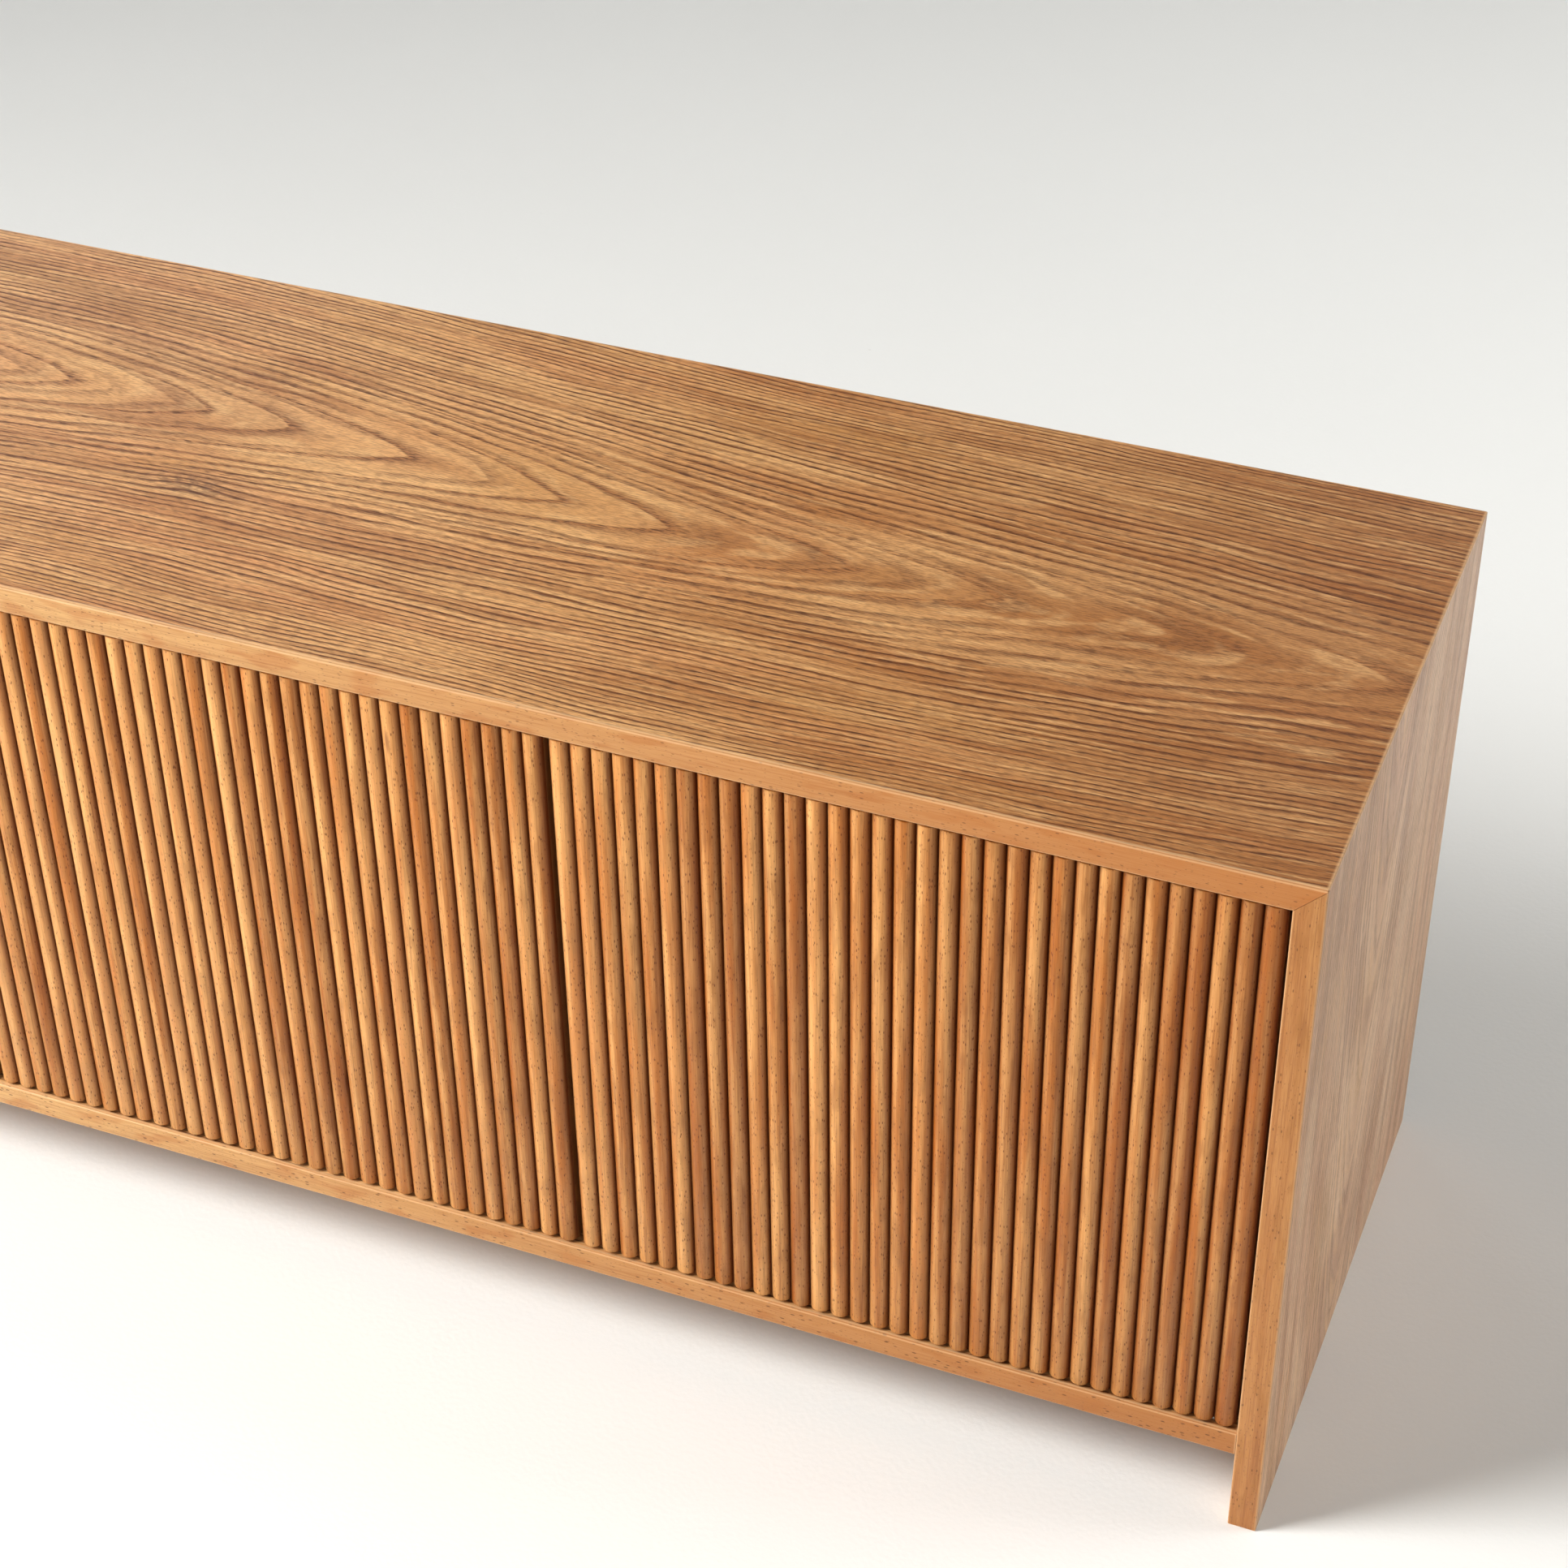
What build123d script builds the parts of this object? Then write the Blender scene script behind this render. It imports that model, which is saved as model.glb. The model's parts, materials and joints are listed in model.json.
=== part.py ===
from build123d import *
import os
from math import hypot

# Low media cabinet: a mitred, veneered carcass with solid beech edging and four inset doors that are
# faced with half-round beech slats. The doors have no handles. They turn on pivot pins at their top
# and bottom edges and spring open from push latches.
#
# Millimetres. The origin is on the floor at the centre of the footprint, +X runs to the right,
# +Y to the back and +Z up.

# Carcass
LENGTH = 1800.0
DEPTH = 400.0
HEIGHT = 512.0
BOARD = 18.0
FOOT_HEIGHT = 64.0
EDGING = 2.0
ARRIS = 0.8

# Joints between the boards
SPLINE_THICKNESS = 4.0
SPLINE_WIDTH = 12.0
SPLINE_INSET = 5.0
SPLINE_STOP = 20.0
DOWEL_RADIUS = 4.0
DOWEL_COVER = 6.0
DOWEL_END_BITE = 12.0
DOWEL_MARGIN = 45.0
SIDE_DOWELS = 4
PARTITION_DOWELS = 3

# Back panels and their cable grommets
BACK = 6.0
REBATE = 10.0
BACK_FIT = 0.5
BACK_SCREW_BITE = 10.0
BACK_SCREW_MARGIN = 60.0
BACK_SCREWS_ALONG = 4
BACK_SCREWS_UP = 3
GROMMET_RADIUS = 30.0
GROMMET_WALL = 3.0
GROMMET_LIP = 5.0
GROMMET_FLANGE = 2.0
GROMMET_ROUND = 0.8
GROMMET_HEIGHT = 90.0

# Screws
SCREW_HEAD_RADIUS = 3.3
SCREW_SHANK_RADIUS = 1.6
SCREW_POINT = 3.0
SCREW_COVER = 6.0
RECESS_LENGTH = 3.6
RECESS_WIDTH = 0.9
RECESS_DEPTH = 1.0

# Shelves and their supports
SHELF_FIT = 1.0
SHELF_BACK_GAP = 20.0
PIN_RADIUS = 2.5
PIN_WEB = 3.0
PIN_PITCH = 32.0
PIN_HOLES = 5
PIN_ROW_INSET = 40.0
TONGUE_WIDTH = 12.0
TONGUE_REACH = 9.0

# Doors
HINGE_SIDES = (-1, 1, -1, 1)
SIDE_GAP = 3.0
DOOR_GAP = 4.0
DOOR_TOP_GAP = 2.0
DOOR_BOTTOM_GAP = 2.0
DOOR_BOARD = 16.0
DOOR_BAND = 1.0
SLAT_PITCH = 13.2
SLAT_DEPTH = 5.8
SLAT_LAND = 0.8
SLAT_GAP = 0.12
SLAT_SETBACK = 1.5

# Door pivots
PIVOT_INSET = 13.0
PIVOT_SETBACK = 6.0
PIVOT_PIN_RADIUS = 2.5
PIVOT_PIN_BITE = 10.0
RUNNING_FIT = 0.05
BUSH_WALL = 1.5
BUSH_LENGTH = 12.0
PLATE = 2.0
PLATE_WIDTH = 12.0
PLATE_LENGTH = 42.0
PLATE_SCREW_STEPS = (13.0, 29.0)
WASHER = 1.6
WASHER_RADIUS = 5.5
SWING_CLEARANCE = 2.0

# Push latches
LATCH_INSET = 32.0
LATCH_WIDTH = 14.0
LATCH_HEIGHT = 16.0
LATCH_LENGTH = 72.0
LATCH_ROUND = 2.0
LATCH_AXIS_DROP = 9.0
LUG = 3.0
LUG_SPAN = 34.0
LUG_LENGTH = 14.0
LUG_SCREW_INSET = 5.0
PLUNGER_RADIUS = 4.0
PLUNGER_LENGTH = 58.0
PLUNGER_TIP_RADIUS = 5.0
PLUNGER_TIP = 3.0
PLUNGER_REST_GAP = 0.6
RELEASE_TRAVEL = 3.0
STRIKE_RADIUS = 6.0
STRIKE = 0.8
CONTACT_GAP = 0.3

# Centre leg
LEG_TOP_RADIUS = 20.0
LEG_FOOT_RADIUS = 16.0
LEG_PLATE = 3.0
LEG_PLATE_SIZE = 70.0
LEG_PLATE_ROUND = 6.0
LEG_SCREW_INSET = 9.0
STUD_RADIUS = 4.0
STUD_LENGTH = 22.0
GLIDE = 6.0
GLIDE_ROUND = 1.5

# Planes that several pieces share
X_OUT = LENGTH / 2
X_IN = X_OUT - BOARD
Y_FRONT = -DEPTH / 2
Y_BACK = DEPTH / 2
Y_PANEL = Y_FRONT + EDGING
Y_SEAT = Y_BACK - BACK
Z_UNDER = FOOT_HEIGHT
Z_FLOOR = FOOT_HEIGHT + BOARD
Z_CEILING = HEIGHT - BOARD
Z_MIDDLE = (Z_FLOOR + Z_CEILING) / 2

DOORS = range(len(HINGE_SIDES))
DOOR_WIDTH = (2 * (X_IN - SIDE_GAP) - (len(HINGE_SIDES) - 1) * DOOR_GAP) / len(HINGE_SIDES)
SLAT_COUNT = round(DOOR_WIDTH / SLAT_PITCH)
SLAT_STEP = DOOR_WIDTH / SLAT_COUNT
DOOR_Z = (Z_FLOOR + DOOR_BOTTOM_GAP, Z_CEILING - DOOR_TOP_GAP)
Y_BOARD = Y_FRONT + SLAT_SETBACK + SLAT_DEPTH
Y_DOOR_BACK = Y_BOARD + DOOR_BOARD
Y_AXIS = Y_BOARD + PIVOT_SETBACK
Y_INSIDE = Y_AXIS + hypot(PIVOT_INSET, Y_DOOR_BACK - Y_AXIS) + SWING_CLEARANCE
BUSH_RADIUS = PIVOT_PIN_RADIUS + RUNNING_FIT + BUSH_WALL

PIN_DEPTH = (BOARD - PIN_WEB) / 2
PIN_ROWS = (Y_INSIDE + PIN_ROW_INSET, Y_SEAT - SHELF_BACK_GAP - PIN_ROW_INSET)
SHELF_Z = (Z_MIDDLE + PIN_RADIUS, Z_MIDDLE + PIN_RADIUS + BOARD)

Z_PLUNGER = Z_CEILING - LATCH_AXIS_DROP
Y_TIP = Y_DOOR_BACK + STRIKE + CONTACT_GAP
Y_LATCH = Y_TIP + PLUNGER_TIP + PLUNGER_REST_GAP

MIN_CORNER = (Align.MIN, Align.MIN, Align.MIN)
ON_AXIS = (Align.CENTER, Align.CENTER, Align.MIN)


def block(x, y, z):
    """Box between two planes along each axis, given as pairs in any order."""
    low = [min(pair) for pair in (x, y, z)]
    size = [max(pair) - min(pair) for pair in (x, y, z)]
    return Pos(*low) * Box(*size, align=MIN_CORNER)


def rod(start, direction, radius, length):
    """Cylinder from a start point along a direction."""
    return Plane(origin=start, z_dir=direction) * Cylinder(radius, length, align=ON_AXIS)


def prism(outline, y):
    """Outline of (x, z) points carried between two planes along Y."""
    corners = [(px, min(y), pz) for px, pz in outline]
    face = make_face(Polyline(*corners, close=True))
    return extrude(face, amount=max(y) - min(y), dir=(0, 1, 0))


def softened(board):
    """Board with its outer arrises rounded, by keeping what lies in the cabinet's softened outline."""
    outline = block((-X_OUT, X_OUT), (Y_FRONT, Y_BACK), (0, HEIGHT))
    return board & fillet(outline.edges(), ARRIS)


def group(shapes):
    """Separate solids kept together in one node."""
    return Compound([solid for shape in shapes for solid in shape.solids()])


def spread(low, high, count):
    """Evenly spaced values from low to high, with both ends."""
    step = (high - low) / (count - 1)
    return [low + step * index for index in range(count)]


def seated(board, *sets):
    """Board with a seat cut for every piece of the sets that are let into it."""
    return board - group([piece for pieces in sets for piece in pieces])


# Screws: each place is the centre of the head's face and the direction that the head looks.

def wood_screw(length):
    """Countersunk wood screw along -Z with its head's face at the origin and no recess."""
    cone = SCREW_HEAD_RADIUS - SCREW_SHANK_RADIUS
    outline = Polyline(
        (0, 0, 0),
        (SCREW_HEAD_RADIUS, 0, 0),
        (SCREW_SHANK_RADIUS, 0, -cone),
        (SCREW_SHANK_RADIUS, 0, SCREW_POINT - length),
        (0, 0, -length),
        close=True,
    )
    return revolve(make_face(outline), Axis.Z)


def screw_bodies(places, length):
    """Screws without recesses at their places, which also cut their own seats."""
    return [Plane(origin=point, z_dir=out) * wood_screw(length) for point, out in places]


def screws(places, length):
    """Finished screws with cross recesses at their places."""
    bar = Box(RECESS_LENGTH, RECESS_WIDTH, 2 * RECESS_DEPTH)
    finished = wood_screw(length) - (bar + Rot(0, 0, 90) * bar)
    return group([Plane(origin=point, z_dir=out) * finished for point, out in places])


# Where the doors stand

def door_span(index):
    """Left and right planes of a door."""
    left = -X_IN + SIDE_GAP + index * (DOOR_WIDTH + DOOR_GAP)
    return left, left + DOOR_WIDTH


def hinge_x(index):
    """Place of a door's pivot axis along X."""
    left, right = door_span(index)
    return left + PIVOT_INSET if HINGE_SIDES[index] < 0 else right - PIVOT_INSET


def latch_x(index):
    """Place of a door's push latch along X, near the edge that swings."""
    left, right = door_span(index)
    return right - LATCH_INSET if HINGE_SIDES[index] < 0 else left + LATCH_INSET


# Hidden joints of the carcass

def mitre_splines():
    """Loose tongues across the two mitres, close to the inside corner."""
    tongue = Box(SPLINE_WIDTH, Y_SEAT - Y_PANEL - 2 * SPLINE_STOP, SPLINE_THICKNESS)
    tongues = []
    for side in (-1, 1):
        centre = (side * (X_IN + SPLINE_INSET), (Y_SEAT + Y_PANEL) / 2, Z_CEILING + SPLINE_INSET)
        tongues.append(Pos(*centre) * Rot(0, side * 45, 0) * tongue)
    return tongues


def carcass_dowels():
    """Dowels from the bottom panel into the sides and from the partition into top and bottom."""
    face_bite = BOARD - DOWEL_COVER
    length = face_bite + DOWEL_END_BITE
    dowels = []
    for side in (-1, 1):
        for y in spread(Y_PANEL + DOWEL_MARGIN, Y_SEAT - DOWEL_MARGIN, SIDE_DOWELS):
            start = (side * (X_IN - DOWEL_END_BITE), y, Z_UNDER + BOARD / 2)
            dowels.append(rod(start, (side, 0, 0), DOWEL_RADIUS, length))
    for y in spread(Y_INSIDE + DOWEL_MARGIN, Y_SEAT - DOWEL_MARGIN, PARTITION_DOWELS):
        dowels.append(rod((0, y, Z_FLOOR + DOWEL_END_BITE), (0, 0, -1), DOWEL_RADIUS, length))
        dowels.append(rod((0, y, Z_CEILING - DOWEL_END_BITE), (0, 0, 1), DOWEL_RADIUS, length))
    return dowels


# Back panels

def bay_x(side):
    """Inner and outer planes of a bay, between the partition and a side panel."""
    return side * BOARD / 2, side * X_IN


def back_screw_places():
    """Screws around both back panels."""
    ledge = REBATE / 2
    places = []
    for side in (-1, 1):
        columns = (side * (BOARD / 4 + BACK_FIT / 2), side * (X_IN + ledge))
        for x in spread(columns[0], columns[1], BACK_SCREWS_ALONG + 2)[1:-1]:
            places.append(((x, Y_BACK, Z_UNDER + BOARD / 2), (0, 1, 0)))
            places.append(((x, Y_BACK, Z_CEILING + ledge), (0, 1, 0)))
        for x in columns:
            for z in spread(Z_FLOOR + BACK_SCREW_MARGIN, Z_CEILING - BACK_SCREW_MARGIN, BACK_SCREWS_UP):
                places.append(((x, Y_BACK, z), (0, 1, 0)))
    return places


def grommet_place(side):
    """Centre of a cable grommet in the middle of its bay, on the back panel's inner face."""
    return side * (X_IN + BOARD / 2) / 2, Y_SEAT, Z_FLOOR + GROMMET_HEIGHT


def back_panel(side, screw_seats):
    """Plywood panel in the rebates behind one bay."""
    x = (side * BACK_FIT, side * (X_IN + REBATE - BACK_FIT))
    board = block(x, (Y_SEAT, Y_BACK), (Z_UNDER, Z_CEILING + REBATE - BACK_FIT))
    hole = rod(grommet_place(side), (0, 1, 0), GROMMET_RADIUS, BACK)
    return seated(board, screw_seats, [hole])


def grommet(side):
    """Flanged plastic ring that lines a cable hole, with its flange inside the bay."""
    x, y, z = grommet_place(side)
    sleeve = rod((x, y, z), (0, 1, 0), GROMMET_RADIUS, BACK)
    flange = rod((x, y, z), (0, -1, 0), GROMMET_RADIUS + GROMMET_LIP, GROMMET_FLANGE)
    rim = flange.edges().filter_by(GeomType.CIRCLE).sort_by(Axis.Y)[0]
    flange = fillet(rim, GROMMET_ROUND)
    bore_length = BACK + GROMMET_FLANGE
    bore = rod((x, y - GROMMET_FLANGE, z), (0, 1, 0), GROMMET_RADIUS - GROMMET_WALL, bore_length)
    return sleeve + flange - bore


# Pivots

def pivot_plate(index, z, up):
    """Steel plate let flush into a panel at height z, with its pin standing towards the door."""
    x = hinge_x(index)
    inward = -HINGE_SIDES[index]
    ends = (x - inward * PLATE_WIDTH / 2, x + inward * (PLATE_LENGTH - PLATE_WIDTH / 2))
    gap = DOOR_BOTTOM_GAP if up > 0 else DOOR_TOP_GAP
    plate = block(ends, (Y_AXIS - PLATE_WIDTH / 2, Y_AXIS + PLATE_WIDTH / 2), (z, z - up * PLATE))
    pin = rod((x, Y_AXIS, z), (0, 0, up), PIVOT_PIN_RADIUS, gap + PIVOT_PIN_BITE)
    return plate + pin


def plate_screw_places(z, up):
    """Screws of the four pivot plates on one panel."""
    places = []
    for index in DOORS:
        for step in PLATE_SCREW_STEPS:
            x = hinge_x(index) - HINGE_SIDES[index] * step
            places.append(((x, Y_AXIS, z), (0, 0, up)))
    return places


def thrust_washer(index):
    """Plastic ring on the lower pin that carries the door."""
    place = (hinge_x(index), Y_AXIS, Z_FLOOR)
    hole = PIVOT_PIN_RADIUS + RUNNING_FIT
    return rod(place, (0, 0, 1), WASHER_RADIUS, WASHER) - rod(place, (0, 0, 1), hole, WASHER)


# Push latches

def lug_screw_places():
    """Screws through the lugs of the four latch housings."""
    reach = LUG_SPAN / 2 - LUG_SCREW_INSET
    y = Y_LATCH + LATCH_LENGTH / 2
    places = []
    for index in DOORS:
        for side in (-1, 1):
            places.append(((latch_x(index) + side * reach, y, Z_CEILING - LUG), (0, 0, -1)))
    return places


def latch_housing(index, screw_seats):
    """Housing under the top panel, bored for the plunger, with a lug on each side."""
    x = latch_x(index)
    middle = Y_LATCH + LATCH_LENGTH / 2
    half = LATCH_WIDTH / 2
    body = block((x - half, x + half), (Y_LATCH, Y_LATCH + LATCH_LENGTH), (Z_CEILING - LATCH_HEIGHT, Z_CEILING))
    lower_edges = body.edges().filter_by(Axis.Y).group_by(Axis.Z)[0]
    body = fillet(lower_edges, LATCH_ROUND)
    lugs_x = (x - LUG_SPAN / 2, x + LUG_SPAN / 2)
    lugs_y = (middle - LUG_LENGTH / 2, middle + LUG_LENGTH / 2)
    lugs = block(lugs_x, lugs_y, (Z_CEILING - LUG, Z_CEILING))
    bore_depth = PLUNGER_LENGTH + RELEASE_TRAVEL
    bore = rod((x, Y_LATCH, Z_PLUNGER), (0, 1, 0), PLUNGER_RADIUS + RUNNING_FIT, bore_depth)
    return seated(body + lugs, screw_seats, [bore])


def latch_plunger(index):
    """Plunger at its pressed place, with its tip close to the door's strike plate."""
    x = latch_x(index)
    tip = rod((x, Y_TIP, Z_PLUNGER), (0, 1, 0), PLUNGER_TIP_RADIUS, PLUNGER_TIP)
    stem = rod((x, Y_TIP, Z_PLUNGER), (0, 1, 0), PLUNGER_RADIUS, PLUNGER_TIP + PLUNGER_LENGTH)
    return tip + stem


# Shelves

def pin_holes(side):
    """Two rows of blind holes in both walls of one bay."""
    holes = []
    for wall, direction in zip(bay_x(side), (-side, side)):
        for y in PIN_ROWS:
            for step in range(PIN_HOLES):
                z = Z_MIDDLE + (step - PIN_HOLES // 2) * PIN_PITCH
                holes.append(rod((wall, y, z), (direction, 0, 0), PIN_RADIUS, PIN_DEPTH))
    return holes


def shelf_supports():
    """Pins in the middle holes, each with a flat-topped tongue under the shelf."""
    supports = []
    for side in (-1, 1):
        for wall, direction in zip(bay_x(side), (-side, side)):
            for y in PIN_ROWS:
                pin = rod((wall, y, Z_MIDDLE), (direction, 0, 0), PIN_RADIUS, PIN_DEPTH)
                tongue_x = (wall, wall - direction * TONGUE_REACH)
                tongue_y = (y - TONGUE_WIDTH / 2, y + TONGUE_WIDTH / 2)
                tongue = block(tongue_x, tongue_y, (Z_MIDDLE - PIN_RADIUS, Z_MIDDLE + PIN_RADIUS))
                supports.append(pin + tongue)
    return supports


def edging_strip(x, y_front, z, long_axis):
    """Solid strip on a board's front edge, with its two front arrises softened."""
    strip = block(x, (y_front, y_front + EDGING), z)
    arrises = strip.edges().filter_by(long_axis).group_by(Axis.Y)[0]
    return fillet(arrises, ARRIS)


def shelf(side):
    """Shelf board and its front edging for one bay."""
    inner, outer = bay_x(side)
    x = (inner + side * SHELF_FIT, outer - side * SHELF_FIT)
    board = block(x, (Y_INSIDE + EDGING, Y_SEAT - SHELF_BACK_GAP), SHELF_Z)
    return board, edging_strip(x, Y_INSIDE, SHELF_Z, Axis.X)


# Carcass boards

TOP_OUTLINE = ((-X_IN, Z_CEILING), (X_IN, Z_CEILING), (X_OUT, HEIGHT), (-X_OUT, HEIGHT))


def side_outline(side):
    """Side panel seen from the front, mitred at its top."""
    return (side * X_IN, 0), (side * X_OUT, 0), (side * X_OUT, HEIGHT), (side * X_IN, Z_CEILING)


def mitred_edging(outline, long_axis):
    """Edging on a mitred board, with its front arrises softened."""
    strip = prism(outline, (Y_FRONT, Y_PANEL))
    front_arrises = strip.edges().filter_by(long_axis).group_by(Axis.Y)[0]
    inner_arris = front_arrises.sort_by(Edge.length)[0]
    return softened(fillet(inner_arris, ARRIS))


def rebate():
    """Space that the rebates for the back panels leave in the sides and the top."""
    reach = X_IN + REBATE
    return block((-reach, reach), (Y_SEAT, Y_BACK), (Z_UNDER, Z_CEILING + REBATE))


def carcass():
    """Boards, edging, hidden joints, pivots, latches, back and shelves."""
    splines = mitre_splines()
    dowels = carcass_dowels()
    back_screw_length = BACK + BACK_SCREW_BITE
    plate_screw_length = BOARD - SCREW_COVER
    lug_screw_length = LUG + BOARD - SCREW_COVER
    back_screw_seats = screw_bodies(back_screw_places(), back_screw_length)
    upper_places = plate_screw_places(Z_CEILING, -1)
    lower_places = plate_screw_places(Z_FLOOR, 1)
    upper_screw_seats = screw_bodies(upper_places, plate_screw_length)
    lower_screw_seats = screw_bodies(lower_places, plate_screw_length)
    lug_screw_seats = screw_bodies(lug_screw_places(), lug_screw_length)
    leg_screw_seats = screw_bodies(leg_screw_places(), lug_screw_length)
    upper_plates = [pivot_plate(index, Z_CEILING, -1) for index in DOORS]
    lower_plates = [pivot_plate(index, Z_FLOOR, 1) for index in DOORS]
    supports = shelf_supports()

    top = softened(prism(TOP_OUTLINE, (Y_PANEL, Y_BACK)))
    bottom = block((-X_IN, X_IN), (Y_PANEL, Y_SEAT), (Z_UNDER, Z_FLOOR))
    half = BOARD / 2
    partition = block((-half, half), (Y_INSIDE + EDGING, Y_SEAT), (Z_FLOOR, Z_CEILING))
    nodes = {
        "top_panel": seated(
            top, [rebate()], splines, dowels, upper_plates, upper_screw_seats, lug_screw_seats, back_screw_seats
        ),
        "bottom_panel": seated(
            bottom, dowels, lower_plates, lower_screw_seats, leg_screw_seats, back_screw_seats
        ),
        "centre_partition": seated(partition, dowels, pin_holes(-1), pin_holes(1), back_screw_seats),
        "top_front_edging": mitred_edging(TOP_OUTLINE, Axis.X),
        "bottom_front_edging": edging_strip((-X_IN, X_IN), Y_FRONT, (Z_UNDER, Z_FLOOR), Axis.X),
        "partition_front_edging": edging_strip((-half, half), Y_INSIDE, (Z_FLOOR, Z_CEILING), Axis.Z),
        "mitre_splines": group(splines),
        "carcass_dowels": group(dowels),
        "upper_pivot_plates": group([seated(plate, upper_screw_seats) for plate in upper_plates]),
        "lower_pivot_plates": group([seated(plate, lower_screw_seats) for plate in lower_plates]),
        "pivot_plate_screws": screws(upper_places + lower_places, plate_screw_length),
        "thrust_washers": group([thrust_washer(index) for index in DOORS]),
        "back_panel_screws": screws(back_screw_places(), back_screw_length),
        "latch_screws": screws(lug_screw_places(), lug_screw_length),
        "shelf_supports": group(supports),
    }
    for name, side in (("left", -1), ("right", 1)):
        panel = softened(prism(side_outline(side), (Y_PANEL, Y_BACK)))
        nodes[f"{name}_side_panel"] = seated(
            panel, [rebate()], splines, dowels, pin_holes(side), back_screw_seats
        )
        nodes[f"{name}_front_edging"] = mitred_edging(side_outline(side), Axis.Z)
        nodes[f"{name}_back_panel"] = back_panel(side, back_screw_seats)
        nodes[f"{name}_cable_grommet"] = grommet(side)
        nodes[f"{name}_shelf"], nodes[f"{name}_shelf_edging"] = shelf(side)
    for index in DOORS:
        nodes[f"latch_{index + 1}_housing"] = latch_housing(index, lug_screw_seats)
        nodes[f"latch_{index + 1}_plunger"] = latch_plunger(index)
    return nodes


# Doors

def slat():
    """Half-round slat standing on the door board's face, with low straight lands at its sides."""
    half = (SLAT_STEP - SLAT_GAP) / 2
    base = Line((-half, 0), (half, 0))
    right_land = Line((half, 0), (half, -SLAT_LAND))
    crown = ThreePointArc((half, -SLAT_LAND), (0, -SLAT_DEPTH), (-half, -SLAT_LAND))
    left_land = Line((-half, -SLAT_LAND), (-half, 0))
    face = make_face([base, right_land, crown, left_land])
    return extrude(face, amount=DOOR_Z[1] - DOOR_Z[0], dir=(0, 0, 1))


def door(index):
    """Board, bands, slats, bushes and strike plate of one door."""
    left, right = door_span(index)
    thickness = (Y_BOARD, Y_DOOR_BACK)
    bottom, top = DOOR_Z
    inside_x = (left + DOOR_BAND, right - DOOR_BAND)
    x = hinge_x(index)
    lower_seat = rod((x, Y_AXIS, bottom), (0, 0, 1), BUSH_RADIUS, BUSH_LENGTH)
    upper_seat = rod((x, Y_AXIS, top), (0, 0, -1), BUSH_RADIUS, BUSH_LENGTH)
    board = block(inside_x, thickness, (bottom + DOOR_BAND, top - DOOR_BAND))
    bands = [
        block((left, left + DOOR_BAND), thickness, DOOR_Z),
        block((right - DOOR_BAND, right), thickness, DOOR_Z),
        seated(block(inside_x, thickness, (bottom, bottom + DOOR_BAND)), [lower_seat]),
        seated(block(inside_x, thickness, (top - DOOR_BAND, top)), [upper_seat]),
    ]
    bore = PIVOT_PIN_RADIUS + RUNNING_FIT
    bushes = [
        lower_seat - rod((x, Y_AXIS, bottom), (0, 0, 1), bore, BUSH_LENGTH),
        upper_seat - rod((x, Y_AXIS, top), (0, 0, -1), bore, BUSH_LENGTH),
    ]
    piece = slat()
    slats = [Pos(left + (step + 0.5) * SLAT_STEP, Y_BOARD, bottom) * piece for step in range(SLAT_COUNT)]
    strike = rod((latch_x(index), Y_DOOR_BACK, Z_PLUNGER), (0, 1, 0), STRIKE_RADIUS, STRIKE)
    name = f"door_{index + 1}"
    return {
        f"{name}_board": seated(board, [lower_seat, upper_seat]),
        f"{name}_edge_bands": group(bands),
        f"{name}_slats": group(slats),
        f"{name}_pivot_bushes": group(bushes),
        f"{name}_strike_plate": strike,
    }


# Centre leg

def leg_screw_places():
    """Screws at the corners of the centre leg's plate."""
    reach = LEG_PLATE_SIZE / 2 - LEG_SCREW_INSET
    corners = [(x, y) for x in (-reach, reach) for y in (-reach, reach)]
    return [((x, y, Z_UNDER - LEG_PLATE), (0, 0, -1)) for x, y in corners]


def centre_leg():
    """Turned leg under the middle of the bottom panel, with its plate and glide."""
    length = LUG + BOARD - SCREW_COVER
    plate_under = Z_UNDER - LEG_PLATE
    half = LEG_PLATE_SIZE / 2
    plate = block((-half, half), (-half, half), (plate_under, Z_UNDER))
    plate = fillet(plate.edges().filter_by(Axis.Z), LEG_PLATE_ROUND)
    stud = rod((0, 0, plate_under), (0, 0, -1), STUD_RADIUS, STUD_LENGTH)
    turning = Cone(LEG_FOOT_RADIUS, LEG_TOP_RADIUS, plate_under - GLIDE, align=ON_AXIS)
    glide = rod((0, 0, 0), (0, 0, 1), LEG_FOOT_RADIUS, GLIDE)
    glide = fillet(glide.edges().filter_by(GeomType.CIRCLE).sort_by(Axis.Z)[0], GLIDE_ROUND)
    return {
        "centre_leg": Pos(0, 0, GLIDE) * turning - stud,
        "centre_leg_plate": seated(plate, screw_bodies(leg_screw_places(), length)) + stud,
        "centre_leg_screws": screws(leg_screw_places(), length),
        "centre_leg_glide": glide,
    }


def main():
    """Build every node and write one STEP file for each."""
    nodes = carcass()
    nodes.update(centre_leg())
    for index in DOORS:
        nodes.update(door(index))
    os.makedirs("parts", exist_ok=True)
    for name, shape in nodes.items():
        export_step(shape, f"parts/{name}.step")


main()
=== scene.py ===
"""Low media cabinet with slatted doors: its finishes, its finely shaped pieces, and the studio it stands in.

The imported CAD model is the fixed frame. Boards, plates and screws stay as they are and get finishes made of
nodes. Edging, slats and turned pieces are worked out again as finer surfaces, each a function of two
parameters, and stand for their CAD nodes.

Metres. +X runs to the right, +Y to the back and +Z up. The floor is at height 0.
"""

import json
import logging
import math
from dataclasses import dataclass, replace
from enum import Enum
from typing import Sequence

import bmesh
import bpy
import numpy as np
from mathutils import Matrix, Vector

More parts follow.
